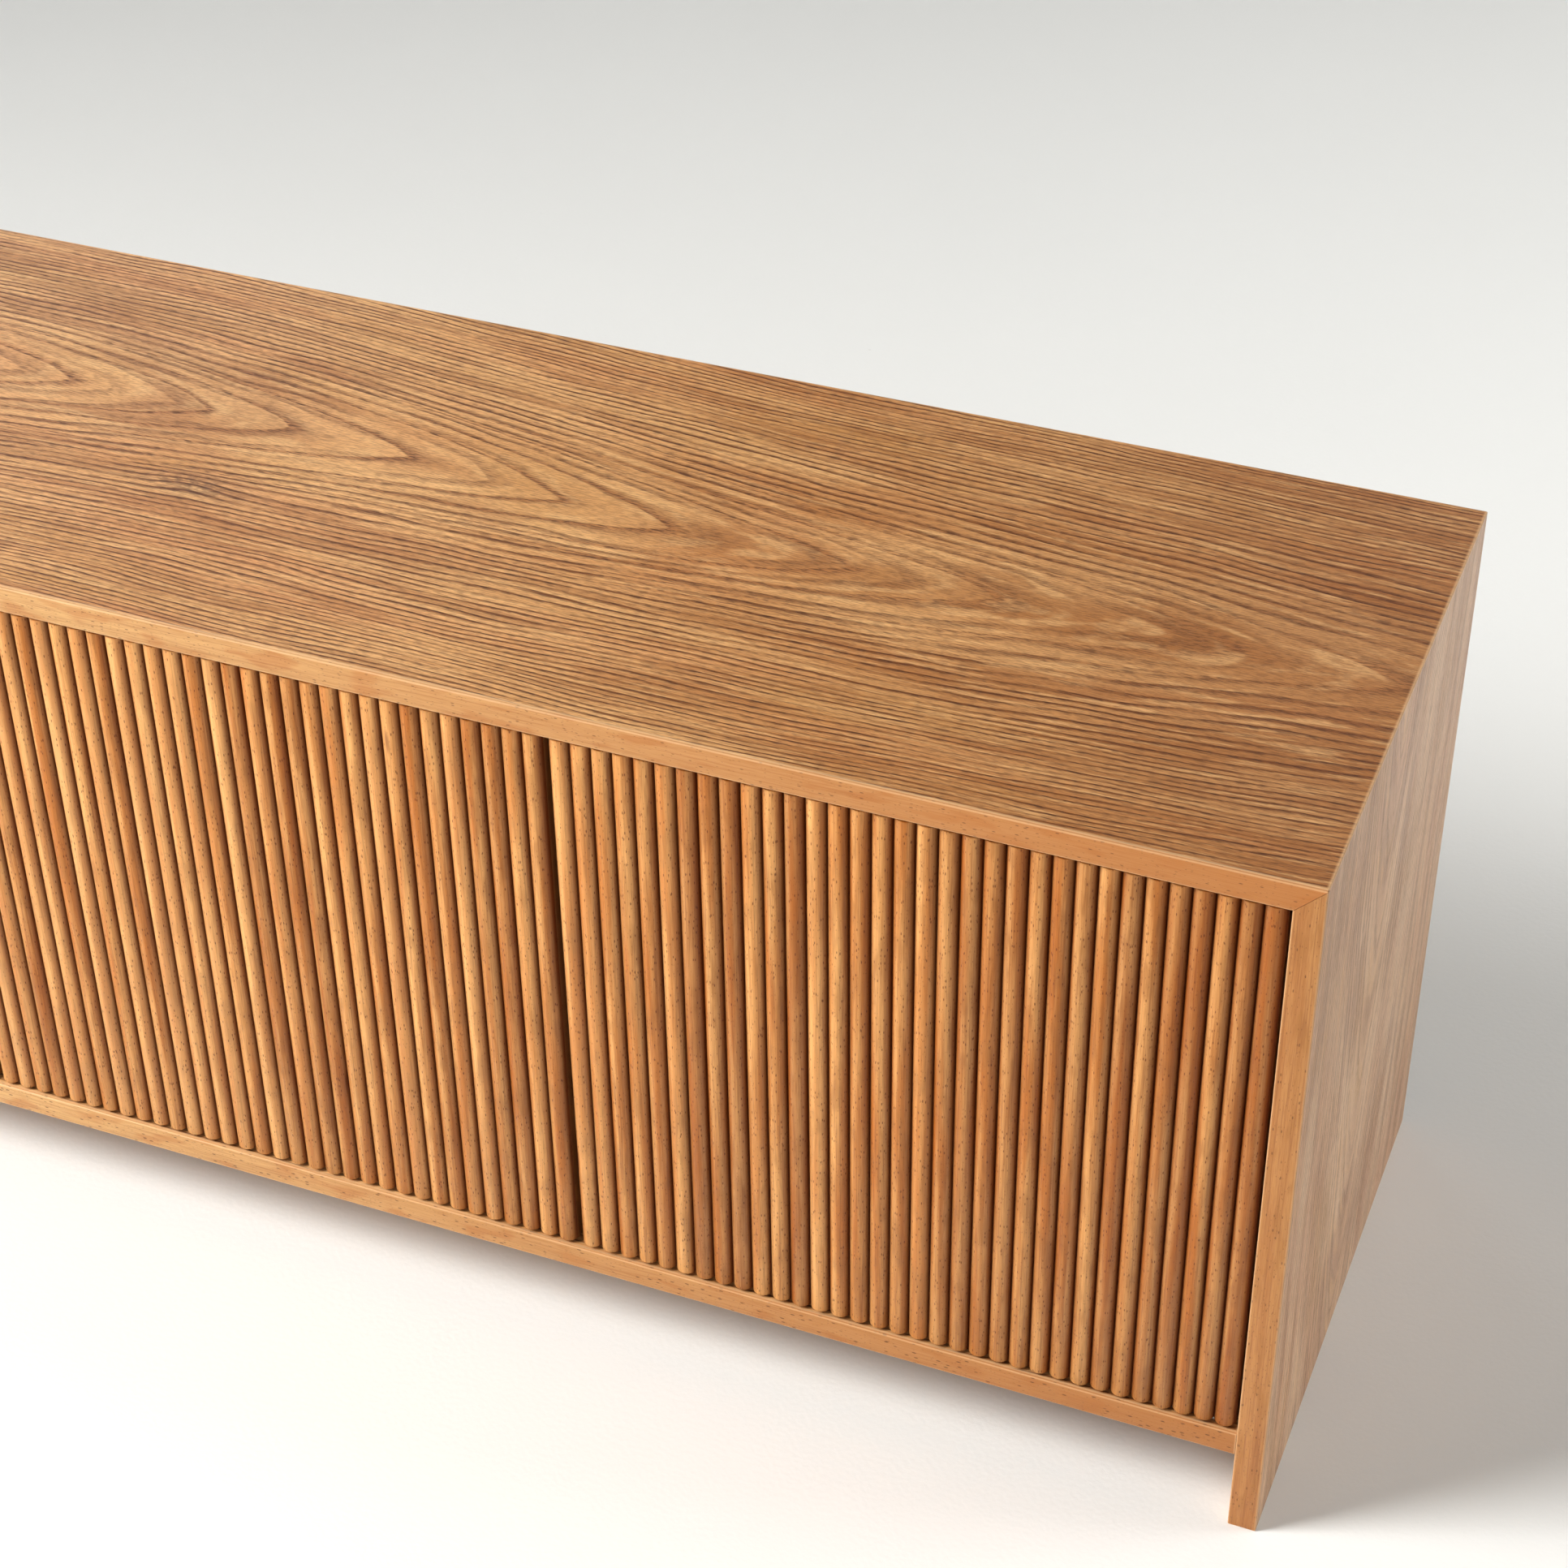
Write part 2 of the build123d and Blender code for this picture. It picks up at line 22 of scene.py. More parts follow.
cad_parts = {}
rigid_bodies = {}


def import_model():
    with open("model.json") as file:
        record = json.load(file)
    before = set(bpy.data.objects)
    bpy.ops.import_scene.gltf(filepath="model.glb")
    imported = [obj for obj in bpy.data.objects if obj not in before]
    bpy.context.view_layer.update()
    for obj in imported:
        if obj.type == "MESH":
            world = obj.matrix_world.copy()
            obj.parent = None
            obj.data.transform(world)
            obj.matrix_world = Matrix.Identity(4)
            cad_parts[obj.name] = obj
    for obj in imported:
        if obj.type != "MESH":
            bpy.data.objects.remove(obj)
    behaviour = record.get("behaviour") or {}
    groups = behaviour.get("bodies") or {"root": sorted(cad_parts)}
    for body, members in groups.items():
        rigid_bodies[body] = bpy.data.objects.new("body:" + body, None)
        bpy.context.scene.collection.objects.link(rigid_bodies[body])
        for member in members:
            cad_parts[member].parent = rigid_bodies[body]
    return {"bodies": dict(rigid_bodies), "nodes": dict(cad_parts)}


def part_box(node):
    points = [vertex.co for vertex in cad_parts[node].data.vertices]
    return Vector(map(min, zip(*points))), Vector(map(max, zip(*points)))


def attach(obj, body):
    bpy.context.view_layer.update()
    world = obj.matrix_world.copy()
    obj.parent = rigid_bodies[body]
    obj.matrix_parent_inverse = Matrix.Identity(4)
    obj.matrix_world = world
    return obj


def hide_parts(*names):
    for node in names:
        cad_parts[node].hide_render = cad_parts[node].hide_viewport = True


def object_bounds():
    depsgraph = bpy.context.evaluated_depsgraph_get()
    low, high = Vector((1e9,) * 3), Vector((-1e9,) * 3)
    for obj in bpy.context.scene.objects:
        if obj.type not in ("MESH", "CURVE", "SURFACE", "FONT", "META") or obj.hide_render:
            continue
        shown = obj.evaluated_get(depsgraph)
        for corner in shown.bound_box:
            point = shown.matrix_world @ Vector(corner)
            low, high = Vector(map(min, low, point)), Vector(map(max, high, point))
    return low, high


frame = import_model()
cad_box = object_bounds()

Array = np.ndarray
Socket = bpy.types.NodeSocket
Value = Socket | float
Colour = tuple[float, float, float, float]

log = logging.getLogger("cabinet")

MM = 0.001
MERGE_DISTANCE = 1e-6
CRISP_ANGLE = math.radians(35)
ARC_SPANS = 4
ARC_POINTS = ARC_SPANS + 1
PIN_BORE = 2.55 * MM


# Surfaces

@dataclass(frozen=True)
class Shell:
    """Points of a surface and the quadrilaterals between them."""

    points: Array
    faces: Array

    def placed(self, origin: Sequence[float], axes: Sequence[Sequence[float]]) -> "Shell":
        """Lays the shell's own three axes along the given directions and moves it to the origin given."""
        points = self.points @ np.asarray(axes, float) + np.asarray(origin, float)
        return Shell(points, self.faces).outward()

    def outward(self) -> "Shell":
        """Turns the faces of a closed shell outwards.

        Six times its volume is the sum of  a . (b x c) + a . (c x d)  over the faces abcd, with a to d taken
        from the middle of its points. A negative sum means that the faces look inwards.

        Returns:
            The same shell, or one whose faces run the other way round.
        """
        first, second, third, fourth = np.moveaxis((self.points - self.points.mean(0))[self.faces], 1, 0)
        volume = (first * (np.cross(second, third) + np.cross(third, fourth))).sum()
        return self if volume > 0 else Shell(self.points, self.faces[:, ::-1])


UPRIGHT = ((1, 0, 0), (0, 1, 0), (0, 0, 1))
UPSIDE_DOWN = ((1, 0, 0), (0, 1, 0), (0, 0, -1))
FACING_BACK = ((1, 0, 0), (0, 0, -1), (0, 1, 0))


def joined(shells: Sequence[Shell]) -> Shell:
    """Puts several shells into one, with the point numbers of each moved past those before it.

    Args:
        shells: Closed or open shells, in place.

    Returns:
        One shell with the faces of them all.
    """
    starts = np.cumsum([0] + [len(shell.points) for shell in shells[:-1]])
    faces = [shell.faces + start for shell, start in zip(shells, starts)]
    return Shell(np.concatenate([shell.points for shell in shells]), np.concatenate(faces))


def grid_faces(rows: int, columns: int, closed_rows: bool, closed_columns: bool) -> Array:
    """Joins the neighbours of a grid whose point (i, j) has the number i * columns + j.

    Args:
        rows: Points along the first parameter.
        columns: Points along the second parameter.
        closed_rows: Whether the last row joins the first.
        closed_columns: Whether the last column joins the first.

    Returns:
        Array of (n, 4) point numbers.
    """
    i = np.arange(rows if closed_rows else rows - 1)[:, None]
    j = np.arange(columns if closed_columns else columns - 1)[None, :]
    below, beside = (i + 1) % rows * columns, (j + 1) % columns
    corners = (i * columns + j, below + j, below + beside, i * columns + beside)
    return np.stack(np.broadcast_arrays(*corners), -1).reshape(-1, 4)


def rounded_outline(corners: Sequence[Sequence[float]], radii: Sequence[float]) -> Array:
    """Rounds every corner of a convex outline by its own radius.

    With n0 and n1 the outward normals of the sides before and after a corner p, the arc's centre is
    c = p - r (n0 + n1) / (1 + n0 . n1), and its points are c + r n, where n swings from n0 to n1.

    Args:
        corners: Corner points, anticlockwise.
        radii: One radius for each corner. A corner of radius 0 stays sharp.

    Returns:
        Array of (n, 2) points, anticlockwise, with the same number for each corner.
    """
    points = np.asarray(corners, float)
    radius = np.asarray(radii, float)[:, None]
    sides = np.roll(points, -1, 0) - points
    sides /= np.linalg.norm(sides, axis=1, keepdims=True)
    after = np.stack([sides[:, 1], -sides[:, 0]], 1)
    before = np.roll(after, 1, 0)
    centres = points - radius * (before + after) / (1 + (before * after).sum(1, keepdims=True))
    share = np.linspace(0, 1, ARC_POINTS)[None, :, None]
    swing = (1 - share) * before[:, None] + share * after[:, None]
    swing /= np.linalg.norm(swing, axis=2, keepdims=True)
    return (centres[:, None] + radius[:, None] * swing).reshape(-1, 2)


def rounded_box(low: Sequence[float], high: Sequence[float], radii: Sequence[float]) -> Array:
    """Outlines a rectangle from its lowest corner round to the one above it, each rounded by its radius."""
    return rounded_outline((low, (high[0], low[1]), high, (low[0], high[1])), radii)


def turned(profile: Array, around: int = 48, ring: bool = False) -> Shell:
    """Turns a profile round its height axis: the point is (r cos a, r sin a, h).

    Args:
        profile: Points (r, h). A solid's profile starts and ends on the axis, and a ring's goes round.
        around: Steps of the angle a in a full turn.
        ring: Whether the profile is a closed loop clear of the axis.

    Returns:
        Closed shell.
    """
    angle = np.linspace(0, 2 * np.pi, around, endpoint=False)[None, :]
    radius, height = profile[:, :1], profile[:, 1:]
    points = np.stack(np.broadcast_arrays(radius * np.cos(angle), radius * np.sin(angle), height), -1)
    return Shell(points.reshape(-1, 3), grid_faces(len(profile), around, ring, True))


def carried(outline: Array, stations: Array, insets: Array, anchor: Sequence[float]) -> Shell:
    """Carries a closed outline along a straight path.

    With a the anchor and w the outline's greatest distances from it along both axes, the point (i, j) is
    a + (outline j - a) (1 - inset i / w) in the section and stations[i, j] along the path, so a row of
    unequal stations cuts the end at a slant. Each end is closed by a strip of faces between the two halves
    of the outline.

    Args:
        outline: Convex outline, (n, 2), with n even.
        stations: Distances along the path, (m, n).
        insets: How far each row is drawn in towards the anchor, (m,).
        anchor: Middle of the outline's back, which stays in its plane.

    Returns:
        Closed shell whose axes are the section's two and the path.
    """
    offset = outline - anchor
    section = anchor + offset * (1 - insets[:, None, None] / np.abs(offset).max(0))
    points = np.concatenate([section, stations[:, :, None]], -1)
    rows, columns = stations.shape
    half = np.arange(columns // 2 - 1)
    cap = np.stack([half, half + 1, columns - 2 - half, columns - 1 - half], 1)
    faces = [grid_faces(rows, columns, False, True), cap, cap[:, ::-1] + (rows - 1) * columns]
    return Shell(points.reshape(-1, 3), np.concatenate(faces))


def eased_ends(low: float, high: float, radius: float, spans: int = 3) -> tuple[Array, Array]:
    """Stations and insets that round off both ends of a carried outline.

    With a running through a quarter turn, a row near an end is r (1 - cos a) from it and drawn in by
    r (1 - sin a).

    Args:
        low: Start of the path.
        high: End of the path.
        radius: Radius of the rounding.
        spans: Straight spans along each quarter turn.

    Returns:
        Distances along the path and insets, one of each for every row.
    """
    angle = np.linspace(0, np.pi / 2, spans + 1)
    rise, inset = radius * (1 - np.cos(angle)), radius * (1 - np.sin(angle))
    return np.concatenate([low + rise, (high - rise)[::-1]]), np.concatenate([inset, inset[::-1]])


def measured(node: str) -> tuple[Vector, Vector, Vector]:
    """Reads a CAD node's box as its lowest corner, its middle and its size."""
    low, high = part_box(node)
    return low, (low + high) / 2, high - low


def make_piece(name: str, shell: Shell, tones_and_falloff: Array | None = None) -> bpy.types.Object:
    """Makes a mesh object of a shell, with its doubles merged and its arrises crisp.

    Args:
        name: Name of the piece.
        shell: Its surface, in place.
        tones_and_falloff: A number from 0 to 1 for each face, which finishes read to vary piece by piece, and
            in which the slats carry painted shade that falls off from left to right.

    Returns:
        The new object, at the origin.
    """
    mesh = bpy.data.meshes.new(name)
    mesh.from_pydata(shell.points.tolist(), [], shell.faces.tolist())
    if tones_and_falloff is not None:
        attribute = mesh.attributes.new("tone_and_falloff", "FLOAT", "FACE")
        attribute.data.foreach_set("value", tones_and_falloff.astype(np.float32))
    work = bmesh.new()
    work.from_mesh(mesh)
    bmesh.ops.remove_doubles(work, verts=work.verts, dist=MERGE_DISTANCE)
    work.to_mesh(mesh)
    work.free()
    mesh.shade_smooth()
    mesh.set_sharp_from_angle(angle=CRISP_ANGLE)
    piece = bpy.data.objects.new(name, mesh)
    bpy.context.scene.collection.objects.link(piece)
    return piece


# Finishes

def paint(red: int, green: int, blue: int) -> Colour:
    """Turns a display colour, 0 to 255 for each channel, into the linear colour that a shader takes.

    Args:
        red: Red channel.
        green: Green channel.
        blue: Blue channel.

    Returns:
        Red, green, blue and an opacity of 1.
    """
    shares = np.array([red, green, blue]) / 255
    linear = np.where(shares <= 0.04045, shares / 12.92, ((shares + 0.055) / 1.055) ** 2.4)
    return (*linear.tolist(), 1.0)


class Grain(Enum):
    """Which of a point's coordinates runs along the grain, across it in the face, and through the board."""

    LENGTHWISE_FLAT = (0, 1, 2)
    LENGTHWISE_UPRIGHT = (0, 2, 1)
    UPRIGHT_DEEP = (2, 1, 0)
    UPRIGHT_WIDE = (2, 0, 1)


@dataclass(frozen=True)
class Way:
    """A point's distances along the grain, across it and through the board."""

    along: Value
    across: Value
    through: Value


@dataclass(frozen=True)
class Mark:
    """Cloudy marks: length and width, the noise at which they start and are full, strength and detail."""

    length: float
    width: float
    low: float
    high: float
    share: float = 1.0
    detail: float = 2.0


@dataclass(frozen=True)
class Fleck:
    """Separate marks on a loose grid.

    Length and width are the grid's distances along and across the grain. Held is the share of its places that
    hold a mark, and size a mark's half size as a share of the distances.
    """

    length: float
    width: float
    held: float
    size: float
    share: float


def finish_name(name: str) -> str:
    """Names a finish's material apart from the plain ones that the CAD model brings along."""
    return f"{name}_finish"


class Bench:
    """The node tree of one material. Each call adds a node and returns the socket it gives out."""

    def __init__(self, name: str) -> None:
        """Starts an empty material.

        Args:
            name: Name of the material.
        """
        self.material = bpy.data.materials.new(finish_name(name))
        self.material.use_nodes = True
        self.tree = self.material.node_tree
        self.tree.nodes.clear()

    def node(self, kind: str, **settings: object) -> bpy.types.Node:
        """Adds a node of a kind, with its settings.

        Args:
            kind: Blender's name for the kind.
            settings: Properties of the node.

        Returns:
            The new node.
        """
        made = self.tree.nodes.new(kind)
        for key, value in settings.items():
            setattr(made, key, value)
        return made

    def feed(self, target: Socket, value: Value | Colour) -> None:
        """Links a socket into the target, or sets the target's own constant."""
        if isinstance(value, bpy.types.NodeSocket):
            self.tree.links.new(value, target)
        else:
            target.default_value = value

    def maths(self, operation: str, *values: Value) -> Socket:
        """Works out a sum, product or other function of numbers.

        Args:
            operation: Blender's name for the function.
            values: Its numbers, in order.

        Returns:
            The result.
        """
        made = self.node("ShaderNodeMath", operation=operation)
        for target, value in zip(made.inputs, values):
            self.feed(target, value)
        return made.outputs[0]

    def plus(self, first: Value, *others: Value) -> Socket:
        """Adds numbers."""
        for other in others:
            first = self.maths("ADD", first, other)
        return first

    def minus(self, first: Value, second: Value) -> Socket:
        """Takes the second number from the first."""
        return self.maths("SUBTRACT", first, second)

    def times(self, first: Value, *others: Value) -> Socket:
        """Multiplies numbers."""
        for other in others:
            first = self.maths("MULTIPLY", first, other)
        return first

    def rise(self, value: Value, low: Value, high: Value) -> Socket:
        """Goes smoothly from 0 where the value is low to 1 where it is high.

        Args:
            value: The number that decides.
            low: Where the rise starts.
            high: Where it ends.

        Returns:
            Socket from 0 to 1.
        """
        made = self.node("ShaderNodeMapRange", interpolation_type="SMOOTHSTEP")
        for target, given in zip(made.inputs, (value, low, high)):
            self.feed(target, given)
        return made.outputs[0]

    def fall(self, value: Value, low: Value, high: Value) -> Socket:
        """Goes smoothly from 1 where the value is low to 0 where it is high."""
        return self.minus(1.0, self.rise(value, low, high))

    def ramp(self, value: Value, low: float, high: float, share: float) -> Socket:
        """Goes smoothly from 0 where the value is low to a share where it is high."""
        return self.times(self.rise(value, low, high), share)

    def scaled(self, value: Value, low: float, high: float) -> Socket:
        """Lays a number from 0 to 1 evenly between two others."""
        return self.plus(self.times(value, high - low), low)

    def blend(self, share: Value, first: Socket | Colour, second: Colour) -> Socket:
        """Mixes the second colour into the first.

        Args:
            share: Share of the second colour.
            first: Colour below.
            second: Colour above.

        Returns:
            The mixed colour.
        """
        made = self.node("ShaderNodeMix", data_type="RGBA")
        colours = [socket for socket in made.inputs if socket.type == "RGBA"]
        self.feed(made.inputs[0], share)
        self.feed(colours[0], first)
        self.feed(colours[1], second)
        return next(socket for socket in made.outputs if socket.type == "RGBA")

    def layered(self, colour: Socket | Colour, *layers: tuple[Value, Colour]) -> Socket:
        """Lays tints over a colour one after the other, each by its share."""
        for share, tint in layers:
            colour = self.blend(share, colour, tint)
        return colour

    def place(self) -> bpy.types.bpy_prop_collection:
        """Gives the point's own X, Y and Z."""
        split = self.node("ShaderNodeSeparateXYZ")
        self.feed(split.inputs[0], self.node("ShaderNodeTexCoord").outputs["Object"])
        return split.outputs

    def way(self, grain: Grain, shift: Value = 0.0) -> Way:
        """Reads where a point lies on its piece.

        Args:
            grain: Which coordinate runs which way.
            shift: Slides the pattern along the grain, so that pieces differ.

        Returns:
            Distances in metres.
        """
        place = self.place()
        along, across, through = (place[index] for index in grain.value)
        return Way(self.plus(along, shift), across, through)

    def stretched(self, way: Way, length: float, width: float) -> Socket:
        """Makes coordinates in which a mark of this length and width is one unit each way.

        Args:
            way: Where the point lies.
            length: Size of a mark along the grain.
            width: Its size across the grain and through the board.

        Returns:
            Coordinates for a texture.
        """
        made = self.node("ShaderNodeCombineXYZ")
        self.feed(made.inputs[0], self.times(way.along, 1 / length))
        self.feed(made.inputs[1], self.times(way.across, 1 / width))
        self.feed(made.inputs[2], self.times(way.through, 1 / width))
        return made.outputs[0]

    def cloud(self, way: Way, mark: Mark) -> Socket:
        """Gives noise from 0 to 1 with patches of the mark's length and width.

        Args:
            way: Where the point lies.
            mark: Size and detail of the patches.

        Returns:
            Socket from 0 to 1.
        """
        made = self.node("ShaderNodeTexNoise")
        self.feed(made.inputs["Vector"], self.stretched(way, mark.length, mark.width))
        made.inputs["Scale"].default_value = 1.0
        made.inputs["Detail"].default_value = mark.detail
        return made.outputs[0]

    def marks(self, way: Way, mark: Mark) -> Socket:
        """Gives 0 outside the marks and their strength inside."""
        return self.times(self.rise(self.cloud(way, mark), mark.low, mark.high), mark.share)

    def ranged(self, way: Way, mark: Mark) -> Socket:
        """Lays the noise evenly between the mark's low and high."""
        return self.scaled(self.cloud(way, mark), mark.low, mark.high)

    def flecks(self, way: Way, fleck: Fleck) -> Socket:
        """Gives 0 outside the flecks and their strength inside.

        Args:
            way: Where the point lies.
            fleck: The marks.

        Returns:
            Socket from 0 to the strength of the marks.
        """
        made = self.node("ShaderNodeTexVoronoi")
        self.feed(made.inputs["Vector"], self.stretched(way, fleck.length, fleck.width))
        made.inputs["Scale"].default_value = 1.0
        chance = self.node("ShaderNodeSeparateColor")
        self.feed(chance.inputs[0], made.outputs["Color"])
        held = self.maths("LESS_THAN", chance.outputs[0], fleck.held)
        inside = self.fall(made.outputs["Distance"], fleck.size / 2, fleck.size)
        return self.times(inside, held, fleck.share)

    def arris(self, box: tuple[Vector, Vector], reach: float) -> Socket:
        """Gives 1 at the arrises of a board, falling to 0 at a distance from them.

        On a box's face the nearest plane is the face itself, so the middle one of the point's three
        distances to the planes is the distance to the nearest arris.

        Args:
            box: Lowest and highest corner of the board.
            reach: Distance at which it is 0.

        Returns:
            Socket from 0 to 1.
        """
        depths = []
        for place, low, high in zip(self.place(), *box):
            offset = self.maths("ABSOLUTE", self.minus(place, (low + high) / 2))
            depths.append(self.minus((high - low) / 2, offset))
        lesser, greater = self.maths("MINIMUM", *depths[:2]), self.maths("MAXIMUM", *depths[:2])
        nearest = self.maths("MAXIMUM", lesser, self.maths("MINIMUM", greater, depths[2]))
        return self.fall(nearest, 0.0, reach)

    def surface(self, colour: Socket | Colour, roughness: Value, height: Value, relief: float,
                **constants: float) -> bpy.types.Material:
        """Ends the tree in a shader.

        Args:
            colour: Base colour.
            roughness: Roughness.
            height: Height of the surface, from 0 to 1.
            relief: What a height of 1 stands for, in metres.
            constants: Other inputs of the shader, with underscores for the spaces in their names.

        Returns:
            The finished material.
        """
        shader = self.node("ShaderNodeBsdfPrincipled")
        bump = self.node("ShaderNodeBump")
        bump.inputs["Distance"].default_value = relief
        self.feed(bump.inputs["Height"], height)
        self.feed(shader.inputs["Base Color"], colour)
        self.feed(shader.inputs["Roughness"], roughness)
        self.feed(shader.inputs["Normal"], bump.outputs[0])
        for name, value in constants.items():
            shader.inputs[name.replace("_", " ")].default_value = value
        output = self.node("ShaderNodeOutputMaterial")
        self.feed(output.inputs["Surface"], shader.outputs[0])
        return self.material


@dataclass(frozen=True)
class Figure:
    """Cathedral figure of flat-cut veneer.

    The growth rings are the curves where  along + across * across / spread + slope * |across|  is constant,
    so each is a narrow bow whose tip points along the grain. Tips are the places of those points. A ring is
    darkest on its inner edge and fades over a band that grows away from the figure's axis.
    """

    sense: float = 1.0
    centre: float = 0.0
    drift: float = 0.030
    drift_end: float = 0.6
    spread: float = 0.0137
    slope: float = 1.3
    tips: tuple[float, ...] = (-0.105, -0.01, 0.095, 0.158, 0.247, 0.358, 0.435, 0.555, 0.647, 0.795)
    margin: float = 0.1
    source: float = 1.3
    sway: Mark = Mark(0.35, 0.12, -0.012, 0.012)
    ripple: Mark = Mark(0.05, 0.016, -0.007, 0.007, detail=3.0)
    band: float = 0.20
    band_growth: float = 1.8
    fading: float = 1.3
    inner: float = 0.96
    reach: tuple[float, float] = (0.03, 0.12)
    quiet: tuple[float, float] = (0.008, 0.08)
    softening: tuple[float, float, float] = (0.35, 0.75, 0.55)
    flattening: float = 0.07


@dataclass(frozen=True)
class Knot:
    """Small burl in the veneer: its place along and across the grain, half sizes, and how it bends rings."""

    along: float = 0.132
    across: float = -0.056
    length: float = 0.030
    width: float = 0.012
    swell: float = 0.09
    burl: Mark = Mark(0.006, 0.003, 0.35, 0.6, 0.6)


@dataclass(frozen=True)
class OakVeneer:
    """Flat-cut oak under satin lacquer: growth lines that follow the figure, pores, warm and olive bands."""

    name: str
    grain: Grain
    board: tuple[Vector, Vector]
    figure: Figure = Figure()
    knot: Knot | None = None
    contrast: float = 1.0
    line_pitch: float = 3.3 * MM
    line_dark: tuple[float, float] = (0.05, 0.5)
    line_edge: float = 0.93
    line_strength: float = 1.0
    line_floor: float = 0.35
    ring_strength: float = 0.62
    dash_strength: float = 0.85
    shuffle: Mark = Mark(0.16, 0.018, 0.0, 2.4)
    presence: Mark = Mark(0.08, 0.006, 0.34, 0.56)
    pores: Mark = Mark(9 * MM, 1.0 * MM, 0.45, 0.58)
    pale: Mark = Mark(0.05, 1.6 * MM, 0.5, 0.68, 0.45)
    fine: Mark = Mark(6 * MM, 0.5 * MM, 0.48, 0.72, detail=1.0)
    clouding: Mark = Mark(0.30, 0.05, 0.3, 0.7)
    banding: Mark = Mark(0.14, 0.009, 0.46, 0.62, 0.38)
    warming: Mark = Mark(0.22, 0.02, 0.42, 0.68, 0.4)
    olives: Mark = Mark(0.16, 0.028, 0.5, 0.72, 0.4)
    fine_strength: float = 0.35
    # Painted shade: start, end and strength of a darkening along the grain, standing in for light that falls
    # off towards the right end of the top.
    painted_falloff: tuple[float, float, float] = (0.25, 1.05, 0.68)
    # Painted highlight along the board's arrises, which also stands for light rubbing: its width and
    # strength.
    wear_and_highlight_width: float = 2.2 * MM
    wear_and_highlight_strength: float = 0.6
    gloss: Mark = Mark(0.25, 0.18, 0.30, 0.46, detail=3.0)
    pore_dryness: float = 0.12
    relief: float = 0.12 * MM
    pore_depth: float = 0.6
    fine_depth: float = 0.25
    ring_depth: float = 0.12
    coat: float = 0.08
    coat_roughness: float = 0.3
    light: Colour = paint(232, 178, 116)
    middle: Colour = paint(212, 154, 94)
    warm: Colour = paint(198, 124, 70)
    olive: Colour = paint(180, 124, 56)
    deep: Colour = paint(142, 77, 15)
    latewood: Colour = paint(112, 58, 15)
    ring: Colour = paint(146, 82, 32)
    pore: Colour = paint(74, 36, 10)
    pale_tint: Colour = paint(238, 188, 126)
    # Colour of the painted highlight on the arrises, which also stands for light rubbing.
    wear_and_highlight: Colour = paint(234, 190, 140)

    def rings(self, bench: Bench, way: Way) -> tuple[Socket, Socket, Way]:
        """Works out the growth rings.

        Args:
            bench: Node tree to add to.
            way: Where the point lies.

        Returns:
            Strength of the dark latewood, 1 away from the figure's axis and 0 on it, and a way whose across
            direction goes from ring to ring.
        """
        figure = self.figure
        along = bench.times(way.along, figure.sense)
        drift = bench.times(bench.fall(along, 0.0, figure.drift_end), figure.drift)
        offset = bench.minus(bench.minus(way.across, drift), figure.centre)
        across = bench.plus(offset, bench.ranged(way, figure.sway))
        aside = bench.maths("ABSOLUTE", across)
        bow = bench.times(aside, bench.plus(bench.times(aside, 1 / figure.spread), figure.slope))
        reach = bench.plus(along, bow, bench.ranged(way, figure.ripple))
        if self.knot:
            reach = bench.plus(reach, bench.times(self.around_knot(bench, way), self.knot.swell))
        phase = bench.maths("FRACT", self.ring_number(bench, reach))
        tail = bench.fall(phase, 0.0, bench.plus(figure.band, bench.times(aside, figure.band_growth)))
        edge = bench.rise(phase, figure.inner, 1.0)
        dark = bench.maths("MAXIMUM", bench.maths("POWER", tail, figure.fading), edge)
        start, end, least = figure.softening
        softened = bench.scaled(bench.fall(along, start, end), least, 1.0)
        strength = bench.times(dark, bench.fall(aside, *figure.reach), softened)
        root = bench.maths("SQRT", bench.maths("MAXIMUM", bench.plus(reach, figure.source), 0.0))
        flow = bench.times(root, math.sqrt(figure.spread))
        away = bench.rise(aside, *figure.quiet)
        return strength, away, Way(way.along, flow, bench.times(way.across, figure.flattening))

    def ring_number(self, bench: Bench, reach: Socket) -> Socket:
        """Counts rings along the figure's axis with a curve through the tips of the rings.

        Args:
            bench: Node tree to add to.
            reach: Place of the ring's tip along the axis.

        Returns:
            Number of the ring, counted up along the grain.
        """
        tips = self.figure.tips
        low, high = tips[0] - self.figure.margin, tips[-1] + self.figure.margin
        steps = len(tips) + 1
        made = bench.node("ShaderNodeFloatCurve")
        mapping = made.mapping
        mapping.use_clip = False
        mapping.extend = "EXTRAPOLATED"
        curve = mapping.curves[0]
        for index, tip in enumerate(tips):
            curve.points.new((tip - low) / (high - low), (index + 1) / steps)
        for point in curve.points:
            point.handle_type = "VECTOR"
        mapping.update()
        bench.feed(made.inputs["Value"], bench.times(bench.minus(reach, low), 1 / (high - low)))
        return bench.times(made.outputs[0], steps)

    def around_knot(self, bench: Bench, way: Way) -> Socket:
        """Gives 1 in the middle of the knot, falling to 0 around it.

        Args:
            bench: Node tree to add to.
            way: Where the point lies.

        Returns:
            Socket from 0 to 1.
        """
        knot = self.knot
        along = bench.times(bench.minus(way.along, knot.along), 1 / knot.length)
        across = bench.times(bench.minus(way.across, knot.across), 1 / knot.width)
        far = bench.plus(bench.times(along, along), bench.times(across, across))
        return bench.maths("EXPONENT", bench.times(far, -1.0))

